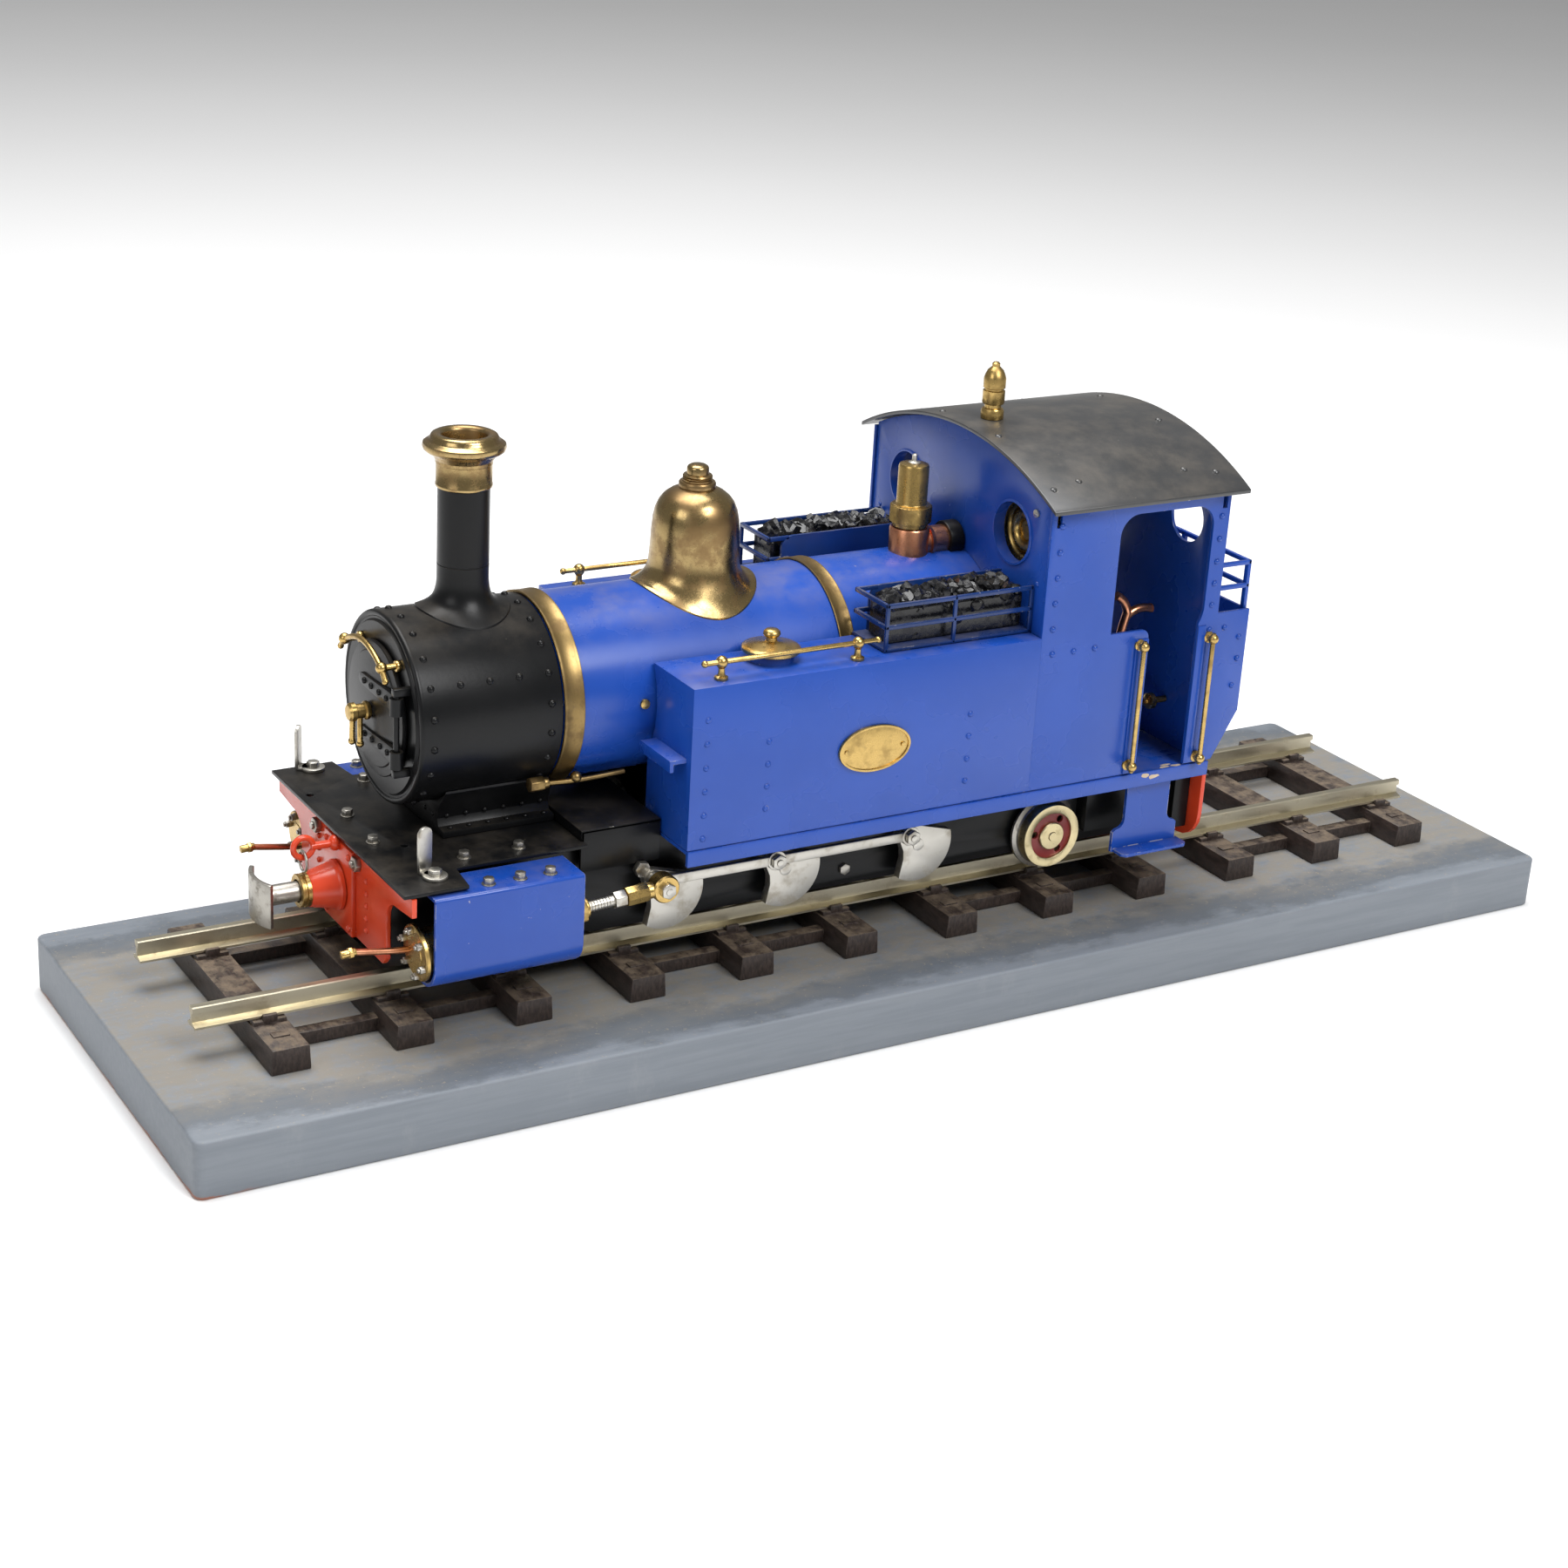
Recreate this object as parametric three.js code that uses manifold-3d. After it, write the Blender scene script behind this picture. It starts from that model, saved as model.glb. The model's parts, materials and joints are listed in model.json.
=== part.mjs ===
// Model side-tank steam locomotive on a display length of 45 mm gauge track.
// Millimetres. +X runs along the track towards the cab, +Y to the far side, +Z up.
// Heights are measured from the top of the display board; the whole group is then
// lifted by the board's thickness, so the origin is the middle of the board's underside.
import * as THREE from 'three';
import { mergeVertices } from 'three/addons/utils/BufferGeometryUtils.js';
import Module from 'manifold-3d';

const wasm = await Module();
wasm.setup();

// ---------------------------------------------------------------- driving dimensions
const NEAR = -1;
const FAR = 1;
const SIDES = { near: NEAR, far: FAR };
const GAP = 0.3;
const SHEET = 1.2;
const FINE = 28;
const ROUND = 16;
const COARSE = 8;

const BOARD = { length: 494, width: 146, thick: 18 };
const TRACK = { count: 12, first: -208.4, pitch: 38.19, half: 45, width: 12.3, top: 8 };
const RAIL = { from: -230.5, to: 222.4, top: 16, height: 6.35, centre: 23.95 };
const AXLES = [-86, -44.4, 4.6];
const DRIVER = { z: 32.8, tread: 16.5, flange: 18.4, axle: 3.2, crank: 6.3 };
const TRAILER = { x: 57.2, z: 27, tread: 10.9, flange: 12.6, axle: 2 };
const CRANK_DEG = { near: 135.6, far: 45.6 };
const BOILER = { z: 89, r: 28.5, front: -116.8, back: 44 };
const SMOKEBOX = { front: -162.6, back: -117.3, r: 29, bore: 25.5, mouth: 19.5 };
const TRUNNION = { x: -145, z: 32.8, y: 45.2 };
const PLATE = { top: 52.2, front: -177.1, half: 51.7 };
const TANK = { front: -86.65, back: 36.6, inner: 25, outer: 51.9, floor: 50.8, top: 101.9 };
const CAB = { front: 37, back: 106, tail: 119, side: 51.9, floor: 50.8 };
const ROOF = { from: 34, to: 110, half: 56.2, r: 118, centre: 40.5, pivotY: -47.6, pivotZ: 139.9 };
const CHIMNEY_X = -136.9;
const DOME_X = -59.6;
const VALVE_X = 18.8;
const WHISTLE_X = 47.2;
const BUFFER_Z = 34.7;
const DOOR = { hingeX: -166.5, hingeY: -20.8, r: 20.4 };

// ---------------------------------------------------------------- finishes
const FINISH = {
  blue: { color: 0x2a45a8, metalness: 0.0, roughness: 0.4 },
  black: { color: 0x17181a, metalness: 0.0, roughness: 0.55 },
  red: { color: 0xc8301c, metalness: 0.0, roughness: 0.4 },
  brass: { color: 0xb08a4a, metalness: 1.0, roughness: 0.35 },
  copper: { color: 0xa8603c, metalness: 1.0, roughness: 0.4 },
  steel: { color: 0xb4b0a6, metalness: 1.0, roughness: 0.4 },
  rail: { color: 0xb5a988, metalness: 1.0, roughness: 0.35 },
  sleeper: { color: 0x3a2f2a, metalness: 0.0, roughness: 0.8 },
  board: { color: 0x6f7680, metalness: 0.0, roughness: 0.7 },
  coal: { color: 0x141414, metalness: 0.0, roughness: 0.45 },
};

// ---------------------------------------------------------------- shape helpers
// One closed solid from a three.js geometry, with its faces turned outwards.
function closed(geometry) {
  geometry.deleteAttribute('normal');
  geometry.deleteAttribute('uv');
  const merged = mergeVertices(geometry, 1e-4);
  const at = merged.attributes.position.array;
  const index = merged.index.array;
  const corners = [];
  let volume = 0;
  for (let i = 0; i < index.length; i += 3) {
    const [a, b, c] = index.slice(i, i + 3);
    if (a === b || b === c || c === a) continue;
    corners.push(a, b, c);
    const p = new THREE.Vector3().fromArray(at, 3 * a);
    const q = new THREE.Vector3().fromArray(at, 3 * b);
    volume += p.dot(q.cross(new THREE.Vector3().fromArray(at, 3 * c)));
  }
  if (volume < 0) corners.reverse();
  const mesh = new wasm.Mesh({
    numProp: 3,
    vertProperties: new Float32Array(at),
    triVerts: new Uint32Array(corners),
  });
  return new wasm.Manifold(mesh);
}

function join(...solids) {
  return solids.flat().reduce((whole, piece) => whole.add(piece));
}

function cut(solid, ...tools) {
  return tools.flat().reduce((rest, tool) => rest.subtract(tool), solid);
}

// A box from its limits; each pair may be given in either order.
function block([x0, x1], [y0, y1], [z0, z1]) {
  const geometry = new THREE.BoxGeometry(Math.abs(x1 - x0), Math.abs(y1 - y0), Math.abs(z1 - z0));
  geometry.translate((x0 + x1) / 2, (y0 + y1) / 2, (z0 + z1) / 2);
  return closed(geometry);
}

// A turned piece: profile holds [radius, distance along the axis].
function turned(axis, profile, [x, y, z] = [0, 0, 0], facets = ROUND) {
  const points = profile.map(([radius, distance]) => new THREE.Vector2(radius, distance));
  const geometry = new THREE.LatheGeometry(points, facets);
  if (axis === 'x') geometry.rotateZ(-Math.PI / 2);
  if (axis === 'z') geometry.rotateX(Math.PI / 2);
  geometry.translate(x, y, z);
  return closed(geometry);
}

function rod(axis, radius, from, to, at, facets = ROUND) {
  return turned(axis, [[0, from], [radius, from], [radius, to], [0, to]], at, facets);
}

// A sheet or bar of one outline, drawn as [X, Y], [X, Z] or [Y, Z] and drawn out along axis.
function plate(axis, outline, from, to) {
  const points = () => outline.map(([u, v]) => new THREE.Vector2(u, v));
  const shape = outline.isShape ? outline : new THREE.Shape(points());
  const low = Math.min(from, to);
  const high = Math.max(from, to);
  const settings = { depth: high - low, bevelEnabled: false, curveSegments: 6 };
  const geometry = new THREE.ExtrudeGeometry(shape, settings);
  const [ex, ey, ez] = [[1, 0, 0], [0, 1, 0], [0, 0, 1]].map((v) => new THREE.Vector3(...v));
  const frame = new THREE.Matrix4();
  if (axis === 'x') frame.makeBasis(ey, ez, ex).setPosition(low, 0, 0);
  if (axis === 'y') frame.makeBasis(ex, ez, ey.clone().negate()).setPosition(0, high, 0);
  if (axis === 'z') frame.setPosition(0, 0, low);
  geometry.applyMatrix4(frame);
  return closed(geometry);
}

// Points along an arc, angles in degrees.
function arc(cu, cv, radius, fromDeg, toDeg, steps) {
  return Array.from({ length: steps + 1 }, (_, i) => {
    const angle = THREE.MathUtils.degToRad(fromDeg + ((toDeg - fromDeg) * i) / steps);
    return [cu + radius * Math.cos(angle), cv + radius * Math.sin(angle)];
  });
}

// A round wire or pipe along a smooth path.
function wire(points, radius, sides = 6, stepsPerSpan = 2) {
  const path = new THREE.CatmullRomCurve3(points.map((p) => new THREE.Vector3(...p)));
  const section = new THREE.Shape(arc(0, 0, radius, 0, 360 - 360 / sides, sides - 1)
    .map(([u, v]) => new THREE.Vector2(u, v)));
  const steps = stepsPerSpan * (points.length - 1);
  return closed(new THREE.ExtrudeGeometry(section, { steps, extrudePath: path }));
}

function ball([x, y, z], radius, facets = COARSE) {
  const geometry = new THREE.SphereGeometry(radius, facets, facets / 2);
  geometry.translate(x, y, z);
  return closed(geometry);
}

function ring(axis, [x, y, z], radius, thick) {
  const geometry = new THREE.TorusGeometry(radius, thick, 6, COARSE + 4);
  if (axis === 'x') geometry.rotateY(Math.PI / 2);
  if (axis === 'y') geometry.rotateX(Math.PI / 2);
  geometry.translate(x, y, z);
  return closed(geometry);
}

function mirrored(halfOutline) {
  return [...halfOutline, ...halfOutline.map(([u, v]) => [-u, v]).reverse()];
}

const boilerRoom = (radius) => rod('x', radius, -180, 60, [0, 0, BOILER.z], FINE);

// ---------------------------------------------------------------- the group
const locomotive = new THREE.Group();
locomotive.position.z = BOARD.thick;

function add(name, solid, finish, place = null) {
  const result = solid.getMesh();
  const geometry = new THREE.BufferGeometry();
  geometry.setAttribute('position', new THREE.BufferAttribute(result.vertProperties, 3));
  geometry.setIndex(new THREE.BufferAttribute(result.triVerts, 1));
  const mesh = new THREE.Mesh(geometry, new THREE.MeshStandardMaterial(FINISH[finish]));
  mesh.name = name;
  if (place) {
    mesh.position.set(...place.at);
    mesh.rotation.y = place.turn;
  }
  locomotive.add(mesh);
}

// ---------------------------------------------------------------- display base
function sleepers() {
  const half = TRACK.width / 2;
  const section = [[-half, GAP], [half, GAP], [half - 0.4, TRACK.top], [0.4 - half, TRACK.top]];
  const seatTop = RAIL.top - RAIL.height - GAP;
  const pieces = [];
  for (let i = 0; i < TRACK.count; i += 1) {
    const x = TRACK.first + i * TRACK.pitch;
    pieces.push(plate('y', section.map(([u, v]) => [x + u, v]), -TRACK.half, TRACK.half));
    for (const side of [NEAR, FAR]) {
      const rail = side * RAIL.centre;
      pieces.push(block([x - 5, x + 5], [rail - 4.6, rail + 4.6], [TRACK.top - 0.5, seatTop]));
      const link = [x + half - 1, x + TRACK.pitch - half + 1];
      const broken = side === NEAR && i % 3 === 2;
      if (i + 1 < TRACK.count && !broken) {
        pieces.push(block(link, [side * 26.5, side * 31], [0.5, 4.5]));
      }
    }
  }
  return join(pieces);
}

function railBar(side) {
  const foot = RAIL.top - RAIL.height;
  const half = [
    [-3.1, foot], [-3.1, foot + 0.7], [-0.55, foot + 1.4], [-0.55, RAIL.top - 2.3],
    [-1.45, RAIL.top - 1.9], [-1.45, RAIL.top - 0.3], [-1.1, RAIL.top],
  ];
  const outline = mirrored(half).map(([u, v]) => [u + side * RAIL.centre, v]);
  return plate('x', outline, RAIL.from, RAIL.to);
}

// ---------------------------------------------------------------- frames and plates
function mainFrame() {
  const side = [
    [-172.8, 25], [-172.8, 50.6], [-114, 50.6], [-114, 48.9], [109.2, 48.9],
    [109.2, 26], [98, 20.2], [-108, 20.2], [-118, 25],
  ];
  const pieces = [];
  for (const s of [NEAR, FAR]) {
    pieces.push(plate('y', [...side].reverse(), s * 30, s * 32.5));
    const post = [s * 32, s * 37.3].sort((a, b) => a - b);
    pieces.push(rod('y', 4, ...post, [TRUNNION.x, 0, TRUNNION.z], COARSE));
    pieces.push(block([71.5, 88], [s * 32, s * 38], [25.5, 48.9]));
    pieces.push(block([103, 109.2], [s * 32, s * 44], [24, 48.9]));
  }
  const stretchers = [[-166, -160], [-112, -107.5], [-66.2, -64.2], [-22, -18], [30, 34], [96, 100]];
  for (const span of stretchers) {
    pieces.push(block(span, [-31, 31], [27, 47]));
  }
  const holes = AXLES.map((x) => rod('y', DRIVER.axle + GAP, -40, 40, [x, 0, DRIVER.z], COARSE));
  holes.push(rod('y', TRAILER.axle + GAP, -40, 40, [TRAILER.x, 0, TRAILER.z], COARSE));
  return cut(join(pieces), holes);
}

function frontBeam() {
  const half = [[51.7, 50.7], [51.7, 45], [36, 42.6], [34, 41.6], [33, 39.5], [33, 21.5]];
  const beam = plate('x', mirrored(half), -174.7, -173.1);
  const pad = block([-176.2, -174.5], [-10.7, 10.7], [21.5, 49]);
  const shank = rod('x', 1.1, -184.6, -175.5, [0, 0, 48.3], COARSE);
  const eye = ring('y', [-187, 0, 48.3], 3.1, 0.95);
  return cut(join(beam, pad, shank, eye), rod('x', 3.6, -180, -170, [0, 0, BUFFER_Z]));
}

function bufferHousing() {
  const profile = [
    [3.6, -176.5], [7.8, -176.5], [7.8, -177.8], [7.1, -177.8], [5.3, -185.9], [5.1, -186.1],
    [5.1, -189], [3.6, -189], [3.6, -176.5],
  ];
  return turned('x', profile, [0, 0, BUFFER_Z]);
}

// Sprung buffer: a shank in the housing and a curved rectangular plate on its end.
function bufferHead() {
  const shank = rod('x', 3.1, -201.6, -180, [0, 0, BUFFER_Z]);
  const outer = arc(-187, 0, 16, 147, 213, 8);
  const inner = arc(-187, 0, 14.4, 213, 147, 8);
  return join(shank, plate('z', [...outer, ...inner], BUFFER_Z - 7, BUFFER_Z + 7));
}

function rearBeam() {
  const half = [[49.5, 45.2], [49.5, 30], ...arc(39.5, 30, 10, 0, -90, 5)];
  return plate('x', mirrored(half), 109.5, 111.2);
}

function runningPlate() {
  const edge = [
    [PLATE.front, PLATE.half], [PLATE.front, -PLATE.half], [-157, -PLATE.half], [-155.5, -38.8],
    [-113, -38.8], [-113, 38.8], [-155.5, 38.8], [-157, PLATE.half],
  ];
  const pieces = [plate('z', edge, PLATE.top - SHEET, PLATE.top)];
  pieces.push(block([-113.8, -87.2], [-36, 36], [54.3, 55.5]));
  pieces.push(block([-113.8, -112.6], [-36, 36], [51, 55.5]));
  for (const s of [NEAR, FAR]) {
    pieces.push(block([-113.8, -87.2], [s * 34.8, s * 36], [42, 55.5]));
  }
  // Lamp irons: a round foot under a bolt and an upright strip, each turned on its bolt.
  for (const [x, y, turn] of [[-163.9, -43.1, -1.27], [-165.1, 47.4, -0.64]]) {
    pieces.push(rod('z', 3.9, PLATE.top - 0.2, 53.3, [x, y, 0], ROUND));
    pieces.push(rod('z', 2.2, 53, 55, [x, y, 0], 6));
    const strip = new THREE.BoxGeometry(1.1, 4.8, 14.6);
    strip.translate(-4.6, 0, 52 + 7.3);
    strip.rotateZ(turn);
    strip.translate(x, y, 0);
    pieces.push(closed(strip));
  }
  return join(pieces);
}

function saddle() {
  const half = [[20, 70], [20, 67], [15, 61], [14, 57], [15, 54.8], [18.5, 54.4], [18.5, 52.5]];
  const body = cut(plate('x', mirrored(half), -150.5, -114.2), boilerRoom(SMOKEBOX.r + GAP));
  return cut(body, rod('x', 30, -117.1, -110, [0, 0, BOILER.z], FINE));
}

// ---------------------------------------------------------------- boiler and smokebox
function smokebox() {
  const { front, back, r, bore, mouth } = SMOKEBOX;
  const shell = turned('x', [
    [bore, back], [r, back], [r, -160.8], [28, -162.2], [26, front], [mouth, front],
    [mouth, front + 3], [bore, front + 3], [bore, back],
  ], [0, 0, BOILER.z], FINE);
  const pieces = [shell];
  const { hingeX, hingeY } = DOOR;
  pieces.push(rod('z', 0.9, 76, 101.5, [hingeX, hingeY, 0], COARSE));
  for (const z of [75.2, 100.1]) {
    pieces.push(block([hingeX - 1.1, front + 0.5], [hingeY - 1, hingeY + 1], [z, z + 2.4]));
  }
  const railX = -168.2;
  for (const s of [NEAR, FAR]) {
    pieces.push(rod('x', 1.1, railX - 0.6, front + 0.5, [0, s * 13.8, 106.6], COARSE));
  }
  pieces.push(wire([[railX, -15.6, 105], [railX, -8, 109.6], [railX, 0, 111.2], [railX, 8, 109.6],
    [railX, 15.6, 105]], 0.8));
  return cut(join(pieces), rod('z', 6.3, 100, 125, [CHIMNEY_X, 0, 0]));
}

function boiler() {
  const flue = 9;
  const { r, front, back } = BOILER;
  return turned('x', [[flue, front], [r, front], [r, back], [flue, back], [flue, front]],
    [0, 0, BOILER.z], FINE);
}

// Copper pipe that rises from the cab floor and forks at its top.
function cabPipe() {
  const y = -28;
  const stem = wire([[84, y, CAB.floor], [84, y, 70], [84.9, y, 84], [86.2, y, 91], [88, y, 97.1]], 1.5);
  const leftArm = wire([[88, y, 96.6], [86.8, y, 100.8], [82.9, y, 103.2]], 1.4);
  const rightArm = wire([[87.6, y, 95.4], [92, y, 98], [97.5, y, 97.2]], 1.4);
  return join(stem, leftArm, rightArm);
}

function band(from, to, outer) {
  const inner = BOILER.r + GAP;
  return turned('x', [[inner, from], [outer, from], [outer, to], [inner, to], [inner, from]],
    [0, 0, BOILER.z], FINE);
}

function smokeboxDoor() {
  const rim = SMOKEBOX.front - GAP;
  const disc = turned('x', [
    [0, rim], [DOOR.r, rim], [DOOR.r, rim - 1.2], [17.5, rim - 2], [9, rim - 2.9], [0, rim - 3.1],
  ], [0, 0, BOILER.z], FINE);
  const pieces = [disc];
  for (const z of [97, 80.6]) {
    const strap = [[DOOR.hingeY, z - 2.6], [6, z - 1.5], [8, z], [6, z + 1.5], [DOOR.hingeY, z + 2.6]];
    pieces.push(plate('x', strap, rim - 3.6, rim - 1.4));
    pieces.push(rod('z', 2, z - 2.6, z + 2.6, [DOOR.hingeX, DOOR.hingeY, 0], COARSE));
  }
  const pin = rod('z', 1.2, 70, 110, [DOOR.hingeX, DOOR.hingeY, 0], COARSE);
  return cut(join(pieces), pin);
}

// Dart handle: a turned hub and two levers hanging side by side.
function doorHandle() {
  const hub = turned('x', [[0, -166.4], [2.3, -166.4], [2.7, -168], [2.7, -171.6], [2, -173.2], [0, -173.2]],
    [0, 0, 88.8]);
  const inner = rod('z', 0.85, 77.5, 88, [-168.6, 0.5, 0], COARSE);
  const outer = rod('z', 0.85, 79.5, 88, [-171.8, -0.8, 0], COARSE);
  return join(hub, inner, outer);
}

function chimney() {
  const tube = turned('z', [
    [6.3, 108], [14, 108], [14, 116.8], [11.6, 119], [9.4, 120.5], [8.2, 122.4], [7.65, 125.5],
    [7.65, 153.7], [6.3, 153.7], [6.3, 108],
  ], [CHIMNEY_X, 0, 0]);
  return cut(tube, boilerRoom(SMOKEBOX.r + GAP));
}

function chimneyCap() {
  return turned('z', [
    [6.5, 154], [8.3, 154], [8.3, 161.6], [9, 162.6], [9.6, 163.7], [11.9, 164.8], [12.3, 166],
    [11.9, 167.2], [10.6, 167.9], [9.9, 169.2], [8.8, 169.7], [7, 169.7], [6.5, 169.1], [6.5, 154],
  ], [CHIMNEY_X, 0, 0]);
}

function dome() {
  const body = turned('z', [
    [0, 137], [10.8, 134.5], [10.8, 106], [19.6, 106], [19.6, 114], [17, 117], [14.9, 119.6],
    [14, 123], [13.4, 134], [12.9, 138.4], [11.3, 142], [8.6, 144.6], [5.7, 146],
    [5.7, 148.2], [4.6, 148.4], [4.6, 150.2], [3.3, 150.4], [3.3, 152.6], [2.4, 153.3], [0, 153.3],
  ], [DOME_X, 0, 0]);
  return cut(body, boilerRoom(BOILER.r + GAP));
}

function valveBush() {
  const post = rod('z', 6.5, 108, 125.5, [VALVE_X, 0, 0]);
  const elbow = rod('x', 4.9, VALVE_X, 36, [0, 0, 119.8]);
  const collar = rod('x', 6, 31.6, 36.4, [0, 0, 119.8]);
  const bore = rod('z', 4.8, 118.6, 127, [VALVE_X, 0, 0]);
  return cut(join(post, elbow, collar), bore, boilerRoom(BOILER.r + GAP));
}

function safetyValve() {
  return turned('z', [
    [0, 119.2], [4.5, 119.2], [4.5, 125.8], [5.9, 125.8], [5.9, 127], [6.7, 127.3], [6.7, 132.8],
    [4.9, 133.2], [4.9, 145.6], [4.4, 146.2], [0.9, 146.2], [0.9, 149.3], [0, 149.3],
  ], [VALVE_X, 0, 0]);
}

// ---------------------------------------------------------------- tanks
function tank(s) {
  const { front, back, inner, outer, floor, top } = TANK;
  const body = cut(block([front, back], [s * inner, s * outer], [floor, top]), boilerRoom(BOILER.r + 1.2));
  const inside = block([front + SHEET, back - SHEET], [s * (inner + SHEET), s * (outer - SHEET)],
    [floor + SHEET, top - SHEET]);
  const hollow = cut(inside, boilerRoom(BOILER.r + 2.4));
  const neck = rod('z', 7.2, top - 0.5, 104.2, [-52, s * 36, 0]);
  const shelf = block([front - 5.4, front + 0.5], [s * 30, s * 49], [78, 79.2]);
  const lip = block([front - 5.4, front - 4.2], [s * 30, s * 49], [75.6, 79.2]);
  const filler = rod('z', 5, 96, 106, [-52, s * 36, 0]);
  return cut(join(cut(body, hollow), neck, shelf, lip), filler);
}

function fillerLid(s) {
  return turned('z', [
    [0, 102.6], [4.6, 102.6], [4.6, 104.5], [9, 104.5], [9, 105.7], [6, 107], [1.8, 107.4],
    [1.8, 109], [2.6, 109.6], [2.6, 110.7], [1.6, 111.3], [0, 111.3],
  ], [-52, s * 36, 0]);
}

function tankHandrail(s) {
  const y = s * 46.8;
  const pieces = [rod('x', 0.8, -81.3, -20.4, [0, y, 107.3], 10)];
  for (const x of [-75, -28]) {
    pieces.push(rod('z', 1.3, 102.2, 107, [x, y, 0], COARSE));
    pieces.push(ball([x, y, 107.3], 1.9));
  }
  return join(pieces);
}

function nameplate(s) {
  const oval = new THREE.EllipseCurve(-23.1, 74.6, 12.75, 7.5, 0, 2 * Math.PI).getPoints(ROUND).slice(0, -1);
  return plate('y', oval.map((p) => [p.x, p.y]), s * 52.2, s * 53);
}

function coalTray(s) {
  const [x0, x1, y0, y1, z0, z1] = [-17.5, 36.4, 26.5, 45.5, 102.2, 117.5];
  const pieces = [block([x0, x1], [s * y0, s * y1], [z0, z0 + 1])];
  const innerPlate = [[x0, z0], [x1, z0], [x1, z1], ...arc(x0 + 3, z1 - 3, 3, 90, 180, 3)];
  pieces.push(plate('y', innerPlate, s * y0, s * (y0 + 1)));
  for (const z of [z1 - 1.1, 109.4]) {
    pieces.push(block([x0, x1], [s * y1, s * (y1 - 1.1)], [z, z + 1.1]));
    pieces.push(block([x0, x0 + 1.1], [s * (y0 + 0.5), s * y1], [z, z + 1.1]));
  }
  for (const x of [x0, 7, x1 - 1.1]) {
    pieces.push(block([x, x + 1.1], [s * y1, s * (y1 - 1.1)], [z0, z1]));
  }
  pieces.push(block([x0, x0 + 1.1], [s * (y0 + 0.2), s * (y0 + 1.4)], [z0, z1]));
  return join(pieces);
}

// A heap of coal that fills the tray, with an uneven top.
function coalHeap(s) {
  const [x0, x1, y0, y1, z0, z1] = [-16.1, 36, 27.9, 44, 103.5, 118.9];
  const geometry = new THREE.BoxGeometry(x1 - x0, y1 - y0, z1 - z0, 9, 3, 1);
  geometry.translate((x0 + x1) / 2, s * (y0 + y1) / 2, (z0 + z1) / 2);
  const at = geometry.attributes.position;
  for (let i = 0; i < at.count; i += 1) {
    if (at.getZ(i) > z1 - 1) {
      at.setZ(i, z1 + 1.6 * Math.sin(1.7 * at.getX(i)) * Math.cos(2.3 * at.getY(i)));
    }
  }
  return closed(geometry);
}

// ---------------------------------------------------------------- cab
const roofLine = (half, radius) => {
  const lean = THREE.MathUtils.radToDeg(Math.asin(half / radius));
  return arc(0, ROOF.centre, radius, 90 - lean, 90 + lean, 16);
};

function cabEnd(x0, x1, windowR, windowY, windowZ) {
  const half = CAB.side - SHEET - GAP;
  const outline = [[-half, CAB.floor], [half, CAB.floor], ...roofLine(half, ROOF.r - SHEET - 0.5)];
  const windows = [NEAR, FAR].map((s) => rod('x', windowR, x0 - 1, x1 + 1, [0, s * windowY, windowZ]));
  return cut(plate('x', outline, x0, x1), windows);
}

function cabFront() {
  const wall = cut(cabEnd(CAB.front, CAB.front + SHEET, 9.8, 30.6, 130.4), boilerRoom(BOILER.r + GAP));
  const pin = rod('x', 0.6, CAB.front + 0.5, 40.4, [0, ROOF.pivotY, ROOF.pivotZ], COARSE);
  return join(wall, pin);
}

function cabRear() {
  const wall = cabEnd(CAB.back - SHEET, CAB.back, 8.2, 32.5, 129);
  const pin = rod('x', 0.6, 102.6, CAB.back - 0.5, [0, ROOF.pivotY, ROOF.pivotZ], COARSE);
  const back = CAB.tail - SHEET;
  const half = CAB.side - SHEET - GAP;
  // Bunker back sheet, upright above and sloping in below, with two rails above it.
  const sheet = [[108.6, 50.8], [110, 50.8], [CAB.tail, 67], [CAB.tail, 102], [back, 102], [back, 67.3]];
  const pieces = [wall, pin, plate('y', sheet, -half, half)];
  for (const z of [109, 116.8]) {
    pieces.push(block([back, CAB.tail], [-half, half], [z, z + SHEET]));
    for (const s of [NEAR, FAR]) {
      pieces.push(block([CAB.back - 0.5, CAB.tail], [s * half, s * (half - 1)], [z, z + SHEET]));
    }
  }
  for (const y of [-half, -17, 15, half - 2]) {
    pieces.push(block([back, CAB.tail], [y, y + 2], [101.5, 118]));
  }
  return join(pieces);
}

function cabSide(s) {
  const eaves = 144.1;
  const outline = [
    [CAB.front, CAB.floor], [78.5, CAB.floor], [78.5, 97.4], ...arc(76, 97.4, 2.5, 30, 90, 3),
    [63.3, 99.9], [63.3, 132], ...arc(70.3, 132, 7, 150, 90, 3), ...arc(93, 132, 7, 90, 0, 4),
    [100, 102.4], ...arc(97.6, 99.6, 2.4, 60, 0, 2).map(([u, v]) => [u - 1.6, v]), [98.4, CAB.floor],
    [110, CAB.floor], [CAB.tail, 67], [CAB.tail, 102], [CAB.back, 102], [CAB.back, eaves],
    [CAB.front, eaves],
  ];
  const sheet = plate('y', outline, s * (CAB.side - SHEET), s * CAB.side);
  // Slots that the roof's hinge lugs swing through.
  const slots = [[38.3, 40.1], [102.9, 104.7]].map((span) => block(span, [-60, -40], [137.5, 150]));
  return s === NEAR ? cut(sheet, slots) : sheet;
}

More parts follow.
